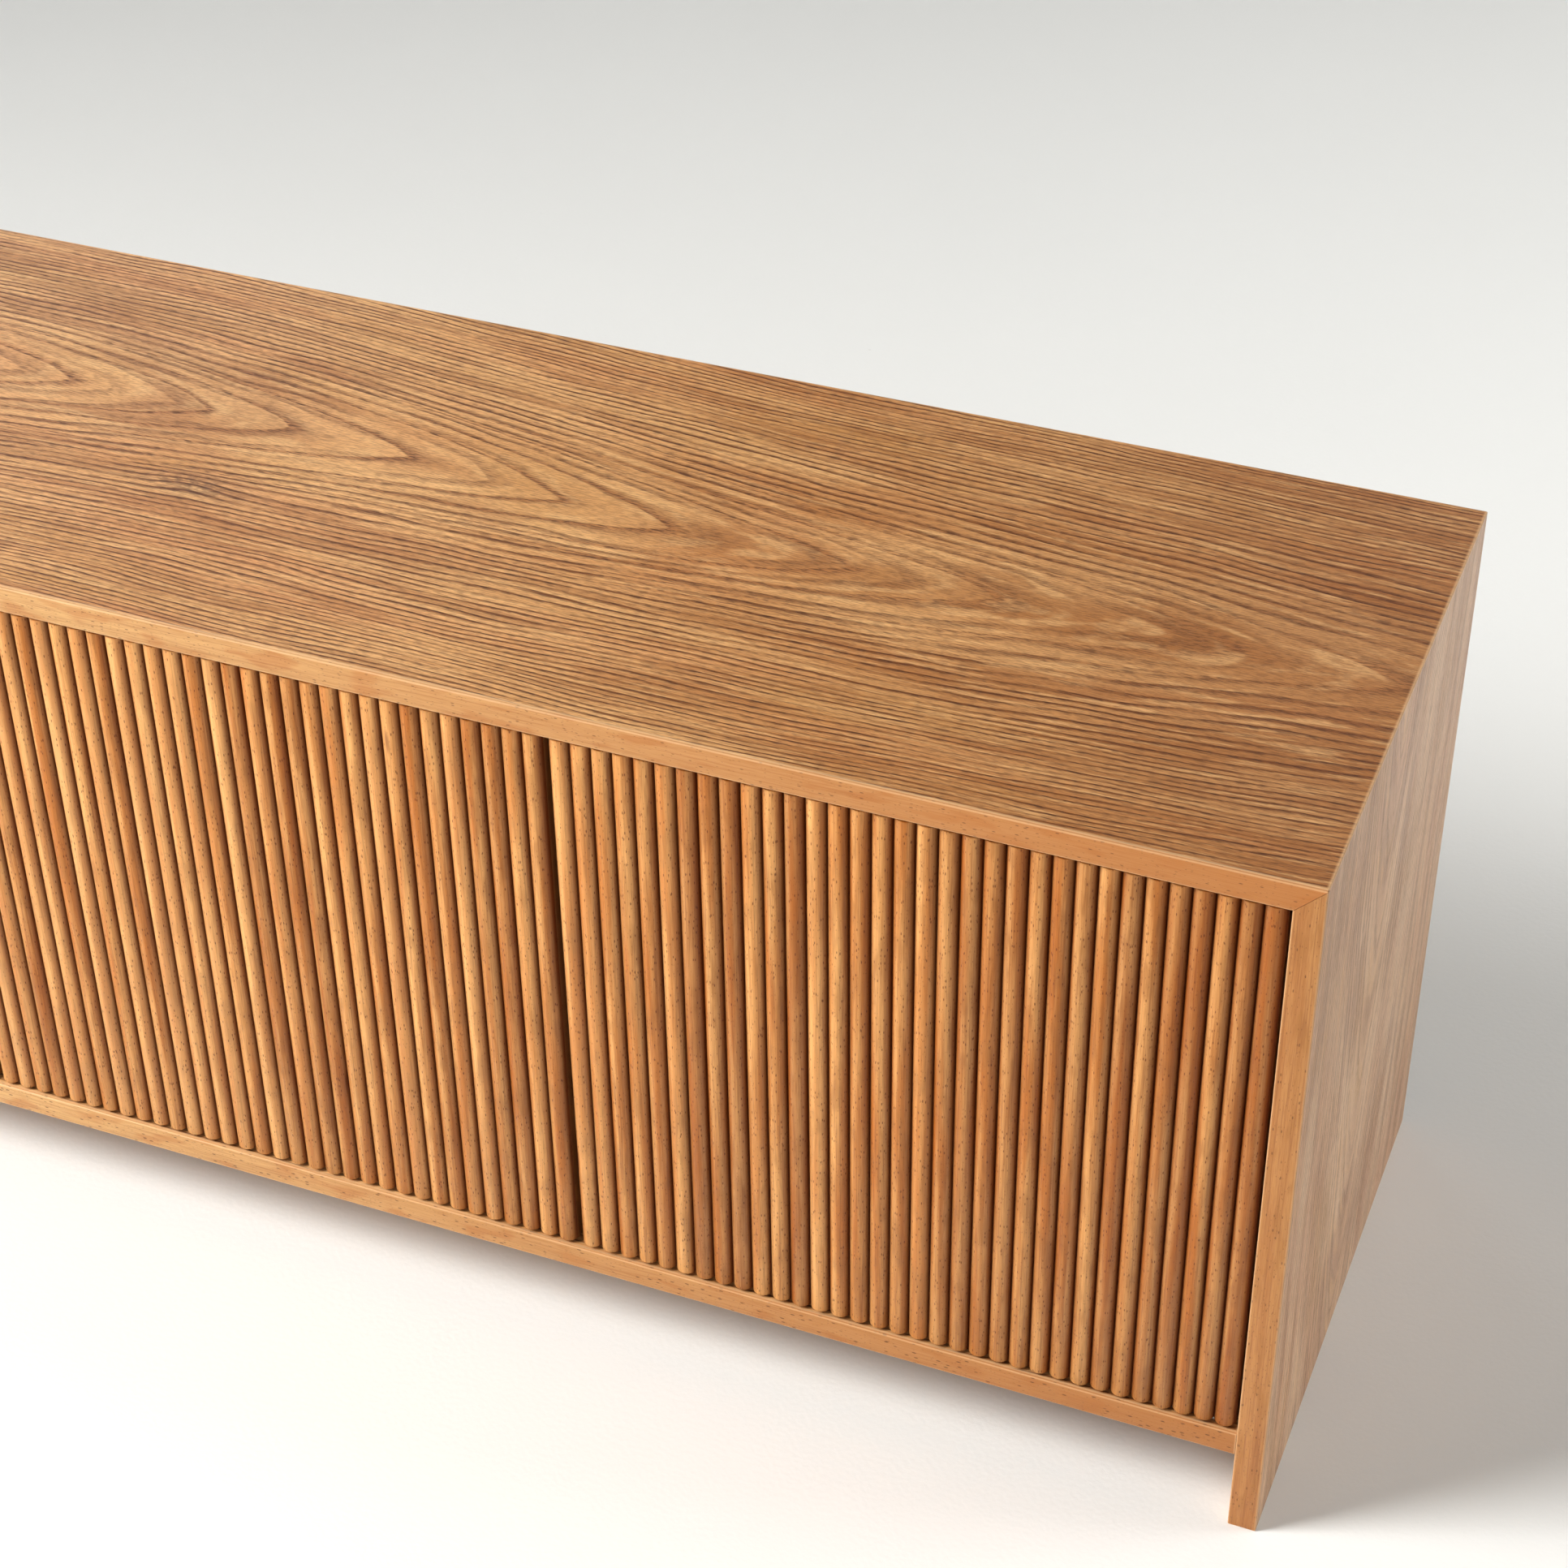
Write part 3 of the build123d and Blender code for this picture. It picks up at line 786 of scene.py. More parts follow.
    def lines(self, bench: Bench, flow: Way) -> Socket:
        """Gives the dark growth lines: crisp on one side, fading on the other, and broken here and there.

        Args:
            bench: Node tree to add to.
            flow: Way whose across direction goes from ring to ring.

        Returns:
            Socket from 0 to 1.
        """
        steps = bench.plus(bench.times(flow.across, 1 / self.line_pitch), bench.ranged(flow, self.shuffle))
        phase = bench.maths("FRACT", steps)
        edge = bench.rise(phase, self.line_edge, 1.0)
        line = bench.maths("MAXIMUM", bench.fall(phase, *self.line_dark), edge)
        return bench.times(line, bench.scaled(bench.marks(flow, self.presence), self.line_floor, 1.0))

    def ground(self, bench: Bench, way: Way, flow: Way) -> Socket:
        """Colours the wood between the lines, with painted shade that makes one end of the board darker than
        the other.

        Args:
            bench: Node tree to add to.
            way: Where the point lies.
            flow: Way whose across direction goes from ring to ring.

        Returns:
            Colour of the wood.
        """
        return bench.layered(
            self.light,
            (bench.marks(way, self.clouding), self.middle),
            (bench.marks(flow, self.warming), self.warm),
            (bench.marks(flow, self.olives), self.olive),
            (bench.marks(flow, self.banding), self.deep),
            # Painted shade: the colour deepens along the grain, standing in for light falling off.
            (bench.ramp(way.along, *self.painted_falloff), self.deep),
        )

    def material(self) -> bpy.types.Material:
        """Builds the finish.

        Returns:
            The new material.
        """
        bench = Bench(self.name)
        way = bench.way(self.grain)
        rings, away, flow = self.rings(bench, way)
        lines = bench.times(self.lines(bench, flow), bench.scaled(away, self.line_floor, 1.0))
        near = bench.scaled(bench.maths("MAXIMUM", lines, rings), self.line_floor, 1.0)
        dashes = bench.times(bench.marks(way, self.pores), near)
        fine = bench.marks(way, self.fine)
        colour = bench.blend(bench.marks(flow, self.pale), self.ground(bench, way, flow), self.pale_tint)
        dark = ((lines, self.line_strength, self.latewood), (rings, self.ring_strength, self.ring),
                (fine, self.fine_strength, self.pore), (dashes, self.dash_strength, self.pore))
        for layer, strength, tint in dark:
            colour = bench.blend(bench.times(layer, strength * self.contrast), colour, tint)
        if self.knot:
            burl = bench.times(self.around_knot(bench, way), bench.marks(way, self.knot.burl))
            colour = bench.blend(burl, colour, self.pore)
        # Painted highlight: the arrises are lightened, standing in for the light they catch, and also for
        # light rubbing.
        wear_and_highlight_mask = bench.times(bench.arris(self.board, self.wear_and_highlight_width), self.wear_and_highlight_strength)
        colour = bench.blend(wear_and_highlight_mask, colour, self.wear_and_highlight)
        roughness = bench.plus(bench.ranged(way, self.gloss), bench.times(dashes, self.pore_dryness))
        depth = bench.plus(bench.times(dashes, self.pore_depth), bench.times(fine, self.fine_depth),
                           bench.times(rings, self.ring_depth))
        return bench.surface(colour, roughness, bench.minus(1.0, depth), self.relief,
                             Coat_Weight=self.coat, Coat_Roughness=self.coat_roughness)


@dataclass(frozen=True)
class Beech:
    """Solid beech with its short dark ray flecks.

    A finish that varies reads a value for each face, mixing a random share with painted shade that darkens
    the slats from left to right across the cabinet. Between a pair of depths it darkens as painted shade in
    the hollows between slats, and its strip is the box whose arrises are painted pale: a painted highlight
    that also stands for light rubbing. The painted falloff, darker and lighter each hold a start, an end and
    a strength: the first along the grain, the others along that value.
    """

    name: str
    grain: Grain
    strip: tuple[Vector, Vector] | None = None
    # Painted highlight along the strip's arrises, which also stands for light rubbing: its colour, width and
    # strength.
    wear_and_highlight: Colour = paint(236, 190, 140)
    wear_and_highlight_width: float = 1.4 * MM
    wear_and_highlight_strength: float = 0.55
    pale: Colour = paint(214, 162, 106)
    light: Colour = paint(198, 138, 78)
    middle: Colour = paint(180, 117, 60)
    deep: Colour = paint(132, 68, 28)
    # Colour of the patches, and also the colour that the painted shade along the grain blends to.
    patch_and_falloff: Colour = paint(168, 110, 50)
    fleck: Colour = paint(74, 32, 10)
    varies: bool = False
    spacing: float = 37.0
    # Painted shade in the hollows between slats: the depths between which the colour darkens, and its
    # strength.
    painted_groove_shade: tuple[float, float] | None = None
    painted_groove_shade_strength: float = 0.9
    broad: Mark = Mark(0.16, 0.007, 0.3, 0.7)
    thin: Mark = Mark(0.05, 1.1 * MM, 0.45, 0.75, 0.4)
    fine: Mark = Mark(0.012, 0.5 * MM, 0.35, 0.8, 0.3, 1.0)
    patches: Mark = Mark(0.035, 0.010, 0.5, 0.66, 0.45)
    flecks: Fleck = Fleck(6.0 * MM, 1.9 * MM, 0.3, 0.26, 0.6)
    specks: Fleck = Fleck(3.2 * MM, 1.1 * MM, 0.4, 0.28, 0.4)
    spots: Fleck = Fleck(0.11, 0.016, 0.12, 0.13, 0.6)
    # Darker and lighter read each face's value, which carries painted shade: the right-hand slats darken and
    # the left-hand ones pale.
    darker: tuple[float, float, float] = (0.5, 0.95, 0.48)
    lighter: tuple[float, float, float] = (0.1, 0.75, 0.6)
    # Painted shade along the grain: start, end and strength.
    painted_falloff: tuple[float, float, float] | None = None
    gloss: Mark = Mark(0.08, 0.02, 0.36, 0.5)
    fleck_dryness: float = 0.1
    relief: float = 0.10 * MM
    fleck_depth: float = 0.6
    coat: float = 0.05
    coat_roughness: float = 0.25
    shine: float = 0.3

    def material(self) -> bpy.types.Material:
        """Builds the finish.

        Returns:
            The new material.
        """
        bench = Bench(self.name)
        # Each face's value mixes a random share with painted shade that falls off from left to right across
        # the cabinet.
        tone_and_falloff = bench.node("ShaderNodeAttribute", attribute_name="tone_and_falloff").outputs["Fac"]
        way = bench.way(self.grain, bench.times(tone_and_falloff, self.spacing) if self.varies else 0.0)
        thin, fine = bench.marks(way, self.thin), bench.marks(way, self.fine)
        flecks = bench.flecks(way, self.flecks)
        layers = [(bench.marks(way, self.broad), self.middle), (bench.marks(way, self.patches), self.patch_and_falloff),
                  (thin, self.deep), (fine, self.deep)]
        # Painted shade: through that value the slats pale on the left and darken on the right, standing in
        # for light falling off.
        if self.varies:
            start, end, share = self.lighter
            lighter = bench.times(bench.fall(tone_and_falloff, start, end), share)
            layers += (bench.ramp(tone_and_falloff, *self.darker), self.deep), (lighter, self.pale)
        # Painted shade: the colour deepens along the grain towards the right end, standing in for light
        # falling off.
        if self.painted_falloff:
            layers.append((bench.ramp(way.along, *self.painted_falloff), self.patch_and_falloff))
        for layer in (bench.flecks(way, self.specks), flecks, bench.flecks(way, self.spots)):
            layers.append((layer, self.fleck))
        # Painted shade: the colour darkens from near the slat's crown down into the hollows beside it.
        if self.painted_groove_shade:
            layers.append((bench.ramp(way.through, *self.painted_groove_shade, self.painted_groove_shade_strength), self.fleck))
        # Painted highlight: the strip's arrises are lightened, standing in for the light they catch, and also
        # for light rubbing.
        if self.strip:
            wear_and_highlight_mask = bench.arris(self.strip, self.wear_and_highlight_width)
            layers.append((bench.times(wear_and_highlight_mask, self.wear_and_highlight_strength), self.wear_and_highlight))
        roughness = bench.plus(bench.ranged(way, self.gloss), bench.times(flecks, self.fleck_dryness))
        height = bench.minus(1.0, bench.plus(bench.times(flecks, self.fleck_depth), thin, fine))
        return bench.surface(bench.layered(self.light, *layers), roughness, height, self.relief,
                             Coat_Weight=self.coat, Coat_Roughness=self.coat_roughness,
                             Specular_IOR_Level=self.shine)


@dataclass(frozen=True)
class Plywood:
    """Rotary-cut plywood: wide wild figure on the faces and thin plies on the edges."""

    name: str
    grain: Grain = Grain.LENGTHWISE_UPRIGHT
    ply: float = 1.2 * MM
    ply_edge: float = 0.5
    ply_strength: float = 0.25
    flow: Mark = Mark(0.6, 0.10, 0.0, 1.0, detail=3.0)
    ring_pitch: float = 0.07
    slant: float = 1.4
    ring_strength: tuple[float, float] = (0.3, 0.55)
    streak: Mark = Mark(0.05, 1.2 * MM, 0.5, 0.75, 0.35)
    pins: Fleck = Fleck(9 * MM, 2.4 * MM, 0.3, 0.2, 0.45)
    dryness: Mark = Mark(0.2, 0.1, 0.55, 0.75)
    relief: float = 0.12 * MM
    light: Colour = paint(222, 184, 140)
    deep: Colour = paint(186, 140, 94)
    dark: Colour = paint(132, 90, 56)

    def material(self) -> bpy.types.Material:
        """Builds the finish.

        Returns:
            The new material.
        """
        bench = Bench(self.name)
        way = bench.way(self.grain)
        flow = bench.plus(bench.ranged(way, self.flow), bench.times(way.across, self.slant))
        rings = bench.maths("SINE", bench.times(flow, 2 * math.pi / self.ring_pitch))
        streaks = bench.marks(way, self.streak)
        pins = bench.flecks(way, self.pins)
        plies = bench.maths("SINE", bench.times(way.through, math.pi / self.ply))
        colour = bench.layered(
            self.light,
            (bench.scaled(rings, *self.ring_strength), self.deep),
            (bench.ramp(plies, 0.0, self.ply_edge, self.ply_strength), self.deep),
            (streaks, self.dark),
            (pins, self.dark),
        )
        height = bench.minus(1.0, bench.plus(streaks, pins))
        return bench.surface(colour, bench.ranged(way, self.dryness), height, self.relief)


@dataclass(frozen=True)
class PlatedSteel:
    """Pressed or turned steel with a fine lengthwise grain, rubbed patches and small scratches."""

    name: str
    light: Colour
    dark: Colour
    roughness: float
    spread: tuple[float, float] = (-0.08, 0.12)
    brushed: Mark = Mark(0.012, 0.25 * MM, 0.0, 1.0)
    clouds: Mark = Mark(0.011, 0.008, 0.35, 0.7, detail=3.0)
    scratches: Mark = Mark(0.4 * MM, 0.016, 0.66, 0.72, 0.3)
    scratch_gloss: float = 0.25
    relief: float = 0.02 * MM

    def material(self) -> bpy.types.Material:
        """Builds the finish.

        Returns:
            The new material.
        """
        bench = Bench(self.name)
        way = bench.way(Grain.LENGTHWISE_FLAT)
        clouds, scratches = bench.marks(way, self.clouds), bench.marks(way, self.scratches)
        colour = bench.layered(self.light, (clouds, self.dark), (scratches, self.light))
        low, high = (self.roughness + part for part in self.spread)
        roughness = bench.minus(bench.scaled(clouds, low, high), bench.times(scratches, self.scratch_gloss))
        height = bench.minus(bench.ranged(way, self.brushed), scratches)
        return bench.surface(colour, roughness, height, self.relief, Metallic=1.0)


@dataclass(frozen=True)
class Plastic:
    """Moulded plastic with a fine spark-eroded texture and slightly rubbed patches."""

    name: str
    colour: Colour
    rubbed: Colour
    roughness: float = 0.45
    spread: tuple[float, float] = (-0.06, 0.10)
    grains: Mark = Mark(0.5 * MM, 0.5 * MM, 0.0, 1.0, detail=1.0)
    clouds: Mark = Mark(0.012, 0.012, 0.45, 0.8, 0.35, 3.0)
    rubs: Mark = Mark(0.02, 1.5 * MM, 0.6, 0.75, 0.4)
    rub_gloss: float = 0.2
    relief: float = 0.03 * MM

    def material(self) -> bpy.types.Material:
        """Builds the finish.

        Returns:
            The new material.
        """
        bench = Bench(self.name)
        way = bench.way(Grain.LENGTHWISE_FLAT)
        clouds, rubs = bench.marks(way, self.clouds), bench.marks(way, self.rubs)
        colour = bench.layered(self.colour, (clouds, self.rubbed), (rubs, self.rubbed))
        low, high = (self.roughness + part for part in self.spread)
        roughness = bench.minus(bench.scaled(clouds, low, high), bench.times(rubs, self.rub_gloss))
        return bench.surface(colour, roughness, bench.ranged(way, self.grains), self.relief)


@dataclass(frozen=True)
class PaleFloor:
    """Plain pale trowelled floor with faint clouding and hairline marks."""

    name: str = "pale_floor"
    light: Colour = paint(241, 241, 238)
    cloud: Colour = paint(235, 235, 232)
    mark: Colour = paint(216, 214, 210)
    clouds: Mark = Mark(0.5, 0.5, 0.0, 1.0, detail=4.0)
    grains: Mark = Mark(4 * MM, 4 * MM, 0.0, 1.0, detail=3.0)
    marks: Fleck = Fleck(0.14, 0.10, 0.3, 0.025, 0.5)
    roughness: tuple[float, float] = (0.45, 0.6)
    relief: float = 0.15 * MM

    def material(self) -> bpy.types.Material:
        """Builds the finish.

        Returns:
            The new material.
        """
        bench = Bench(self.name)
        way = bench.way(Grain.LENGTHWISE_FLAT)
        clouds = bench.ranged(way, self.clouds)
        colour = bench.layered(self.light, (clouds, self.cloud), (bench.flecks(way, self.marks), self.mark))
        height = bench.ranged(way, self.grains)
        return bench.surface(colour, bench.scaled(clouds, *self.roughness), height, self.relief)


Finish = OakVeneer | Beech | Plywood | PlatedSteel | Plastic | PaleFloor

# The pale colour comes in through painted shade, on the slats towards the left.
SLAT = Beech("beech_slats", Grain.UPRIGHT_WIDE, pale=paint(236, 180, 118), light=paint(232, 170, 100),
             middle=paint(192, 113, 40), deep=paint(120, 56, 8), fleck=paint(92, 35, 5), varies=True,
             shine=0.28, flecks=Fleck(4.8 * MM, 1.5 * MM, 0.5, 0.3, 0.75))
# Painted shade: the door's edge bands are a darker beech, standing in for the deep shade in the gaps beside
# the doors.
PAINTED_SHADE_DOOR_BAND = Beech("door_band", Grain.UPRIGHT_WIDE, light=paint(160, 104, 58), middle=paint(136, 84, 42))
PLAIN_BEECH = Beech("plain_beech", Grain.UPRIGHT_DEEP, gloss=Mark(0.08, 0.02, 0.5, 0.65), coat=0.0)
PLYWOOD = Plywood("back_plywood")
ZINC = PlatedSteel("zinc_steel", paint(214, 214, 210), paint(186, 187, 186), 0.30)
NICKEL = PlatedSteel("nickel_steel", paint(205, 203, 196), paint(176, 174, 167), 0.34)
PLAIN_STEEL = PlatedSteel("strike_steel", paint(208, 208, 207), paint(180, 181, 182), 0.26)
NYLON = Plastic("nylon", paint(238, 236, 228), paint(224, 220, 208))
LATCH_GREY = Plastic("latch_shell", paint(226, 224, 218), paint(208, 205, 198), 0.5)
PLUNGER_GREY = Plastic("latch_plunger", paint(84, 84, 86), paint(112, 112, 114))
BLACK = Plastic("moulded_black", paint(30, 30, 31), paint(52, 52, 53))


def dress(piece: bpy.types.Object, finish: Finish) -> None:
    """Gives a piece its finish, building the material the first time it is used.

    Args:
        piece: The piece.
        finish: Its finish.
    """
    material = bpy.data.materials.get(finish_name(finish.name)) or finish.material()
    if not piece.material_slots:
        piece.data.materials.append(material)
    for slot in piece.material_slots:
        slot.material = material
    log.info("%s: %s, %d faces", piece.name, finish.name, len(piece.data.polygons))


def dress_nodes(finish: Finish, *names: str) -> None:
    """Gives CAD nodes that stay as they are their finish."""
    for name in names:
        dress(frame["nodes"][name], finish)


def install(piece: bpy.types.Object, finish: Finish, body: str, slot: str, *nodes: str) -> None:
    """Sets a new piece up on its body in place of CAD nodes.

    Args:
        piece: The new piece, in place.
        finish: Its finish.
        body: CAD body that it moves with.
        slot: Material slot of the record that its finish stands for; not used.
        nodes: CAD nodes that it replaces.
    """
    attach(piece, body)
    if nodes:
        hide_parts(*nodes)
    dress(piece, finish)


# Sub-assemblies

@dataclass(frozen=True)
class Carcass:
    """Veneered boards of the cabinet, joined by mitres at the top and dowels below."""

    top_figure: Figure = Figure()
    side_figure: Figure = Figure(sense=-1.0, centre=-0.02, drift=0.0,
                                 tips=(-0.47, -0.43, -0.40, -0.33, -0.22, -0.12))
    plain_figure: Figure = Figure(centre=0.06, spread=0.03, source=2.0)
    side_contrast: float = 0.42
    plain_contrast: float = 0.8
    # Painted light: the side panels take a paler copy of the oak, standing in for light that falls on them.
    side_pale_painted_light: Colour = paint(236, 194, 154)
    side_middle_painted_light: Colour = paint(222, 176, 134)

    def boards(self) -> dict[str, OakVeneer]:
        """Lists the finish of every veneered board by the name of its node.

        Returns:
            Finishes by node.
        """
        flat, upright = Grain.LENGTHWISE_FLAT, Grain.UPRIGHT_DEEP
        side = {"figure": self.side_figure, "contrast": self.side_contrast, "light": self.side_pale_painted_light,
                "middle": self.side_middle_painted_light}
        plain = {"figure": self.plain_figure, "contrast": self.plain_contrast}
        veneers = {
            "top_panel": (flat, {"figure": self.top_figure, "knot": Knot()}),
            "left_side_panel": (upright, side),
            "right_side_panel": (upright, side),
            "centre_partition": (upright, plain),
            "bottom_panel": (flat, plain),
            "left_shelf": (flat, plain),
            "right_shelf": (flat, plain),
        }
        return {
            node: OakVeneer(f"oak_{node}", grain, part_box(node), **looks)
            for node, (grain, looks) in veneers.items()
        }

    def dress(self) -> None:
        """Gives the boards and their hidden joints their finishes.

        Args:
            piece: The piece; not used.
            finish: Its finish; not used.
        """
        for node, finish in self.boards().items():
            dress_nodes(finish, node)
        dress_nodes(PLAIN_BEECH, "mitre_splines", "carcass_dowels")
        dress_nodes(NICKEL, "shelf_supports")


@dataclass(frozen=True)
class Edging:
    """Solid beech strips on the front edges of the carcass and the shelves."""

    radius: float = 0.8 * MM
    back_radius: float = 0.1 * MM
    joint: float = 0.06 * MM
    # Painted shade: start, end and strength of the darkening of the top and bottom strips towards the right
    # end, standing in for light falling off.
    painted_falloff: tuple[float, float, float] = (-0.35, 1.1, 0.9)
    pale: Colour = paint(222, 178, 118)
    middle: Colour = paint(210, 166, 108)
    patch_and_falloff: Colour = paint(176, 104, 44)
    long_flecks: Fleck = Fleck(7 * MM, 2.4 * MM, 0.6, 0.28, 0.7)

    def section(self, low: float, high: float, front: float, back: float) -> Array:
        """Outlines a strip from its width and its front and back planes, with rounded front arrises.

        Args:
            low: Lowest place across the strip.
            high: Highest place across the strip.
            front: Front plane.
            back: Back plane.

        Returns:
            Points (across, depth).
        """
        return rounded_box((low, front), (high, back), (self.radius,) * 2 + (self.back_radius,) * 2)

    def mitred(self, width: Array, inner: tuple[float, float], outer: tuple[float, float]) -> Array:
        """Works out where a mitred strip ends for each point across its width.

        The cut runs at 45 degrees from the inside corner, less half the joint. At the outer arris the strip
        ends on the arris's own quarter circle instead.

        Args:
            width: Places of the outline's points across the strip.
            inner: Inside corner of the mitre: across the strip, and along it.
            outer: Outside corner, likewise.

        Returns:
            Distances along the strip.
        """
        cut = inner[1] + (width - inner[0]) - self.joint
        above = np.clip(width - (outer[0] - self.radius), 0, self.radius)
        arc = outer[1] - self.radius + np.sqrt(self.radius ** 2 - above ** 2)
        return np.minimum(cut, arc)

    def rail(self, node: str) -> Shell:
        """Makes the top strip, mitred at both ends.

        Args:
            node: CAD node that it stands for.

        Returns:
            Closed shell, in place.
        """
        low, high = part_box(node)
        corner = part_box("right_side_panel")[1]
        board = high.z - low.z
        outline = self.section(low.z, high.z, low.y, high.y)
        ends = self.mitred(outline[:, 0], (low.z, corner.x - board), (high.z, corner.x))
        shell = carried(outline, np.stack([-ends, ends]), np.zeros(2), ((low.z + high.z) / 2, high.y))
        return shell.placed((0, 0, 0), ((0, 0, 1), (0, 1, 0), (1, 0, 0)))

    def post(self, node: str, side: int) -> Shell:
        """Makes a side strip, mitred at its top and eased where it meets the floor.

        Args:
            node: CAD node that it stands for.
            side: 1 for the right post and -1 for the left one.

        Returns:
            Closed shell, in place.
        """
        low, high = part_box(node)
        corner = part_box("right_side_panel")[1]
        inner = min(abs(low.x), abs(high.x))
        outline = self.section(inner, corner.x, low.y, high.y)
        board = corner.x - inner
        top = self.mitred(outline[:, 0], (inner, high.z - board), (corner.x, high.z))
        rises, insets = eased_ends(low.z, high.z, self.radius)
        foot = len(rises) // 2
        rows = np.broadcast_to(rises[:foot, None], (foot, len(outline)))
        anchor = ((inner + corner.x) / 2, high.y)
        shell = carried(outline, np.concatenate([rows, top[None]]), np.append(insets[:foot], 0.0), anchor)
        return shell.placed((0, 0, 0), ((side, 0, 0), (0, 1, 0), (0, 0, 1)))

    def straight(self, node: str, lengthwise: bool) -> Shell:
        """Makes a strip with square ends, along X or standing along Z.

        Args:
            node: CAD node that it stands for.
            lengthwise: Whether it runs along X.

        Returns:
            Closed shell, in place.
        """
        low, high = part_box(node)
        width, path = (2, 0) if lengthwise else (0, 2)
        outline = self.section(low[width], high[width], low.y, high.y)
        stations, insets = eased_ends(low[path], high[path], self.back_radius)
        rows = np.repeat(stations[:, None], len(outline), 1)
        axes = ((0, 0, 1), (0, 1, 0), (1, 0, 0)) if lengthwise else UPRIGHT
        anchor = ((low[width] + high[width]) / 2, high.y)
        return carried(outline, rows, insets, anchor).placed((0, 0, 0), axes)

    def build(self) -> None:
        """Makes every strip."""
        rail, post = Grain.LENGTHWISE_UPRIGHT, Grain.UPRIGHT_WIDE
        strips = {
            "top_front_edging": (self.rail("top_front_edging"), rail),
            "left_front_edging": (self.post("left_front_edging", -1), post),
            "right_front_edging": (self.post("right_front_edging", 1), post),
            "bottom_front_edging": (self.straight("bottom_front_edging", True), rail),
            "partition_front_edging": (self.straight("partition_front_edging", False), post),
            "left_shelf_edging": (self.straight("left_shelf_edging", True), rail),
            "right_shelf_edging": (self.straight("right_shelf_edging", True), rail),
        }
        for node, (shell, grain) in strips.items():
            finish = Beech(f"beech_{node}", grain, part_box(node))
            if node in ("top_front_edging", "bottom_front_edging"):
                # The top and bottom strips take the painted shade that darkens them towards the right.
                finish = replace(finish, painted_falloff=self.painted_falloff, light=self.pale, middle=self.middle,
                                 patch_and_falloff=self.patch_and_falloff)
            if node == "bottom_front_edging":
                finish = replace(finish, flecks=self.long_flecks)
            install(make_piece(f"{node}_strip", shell), finish, "carcass", "beech_edging", node)


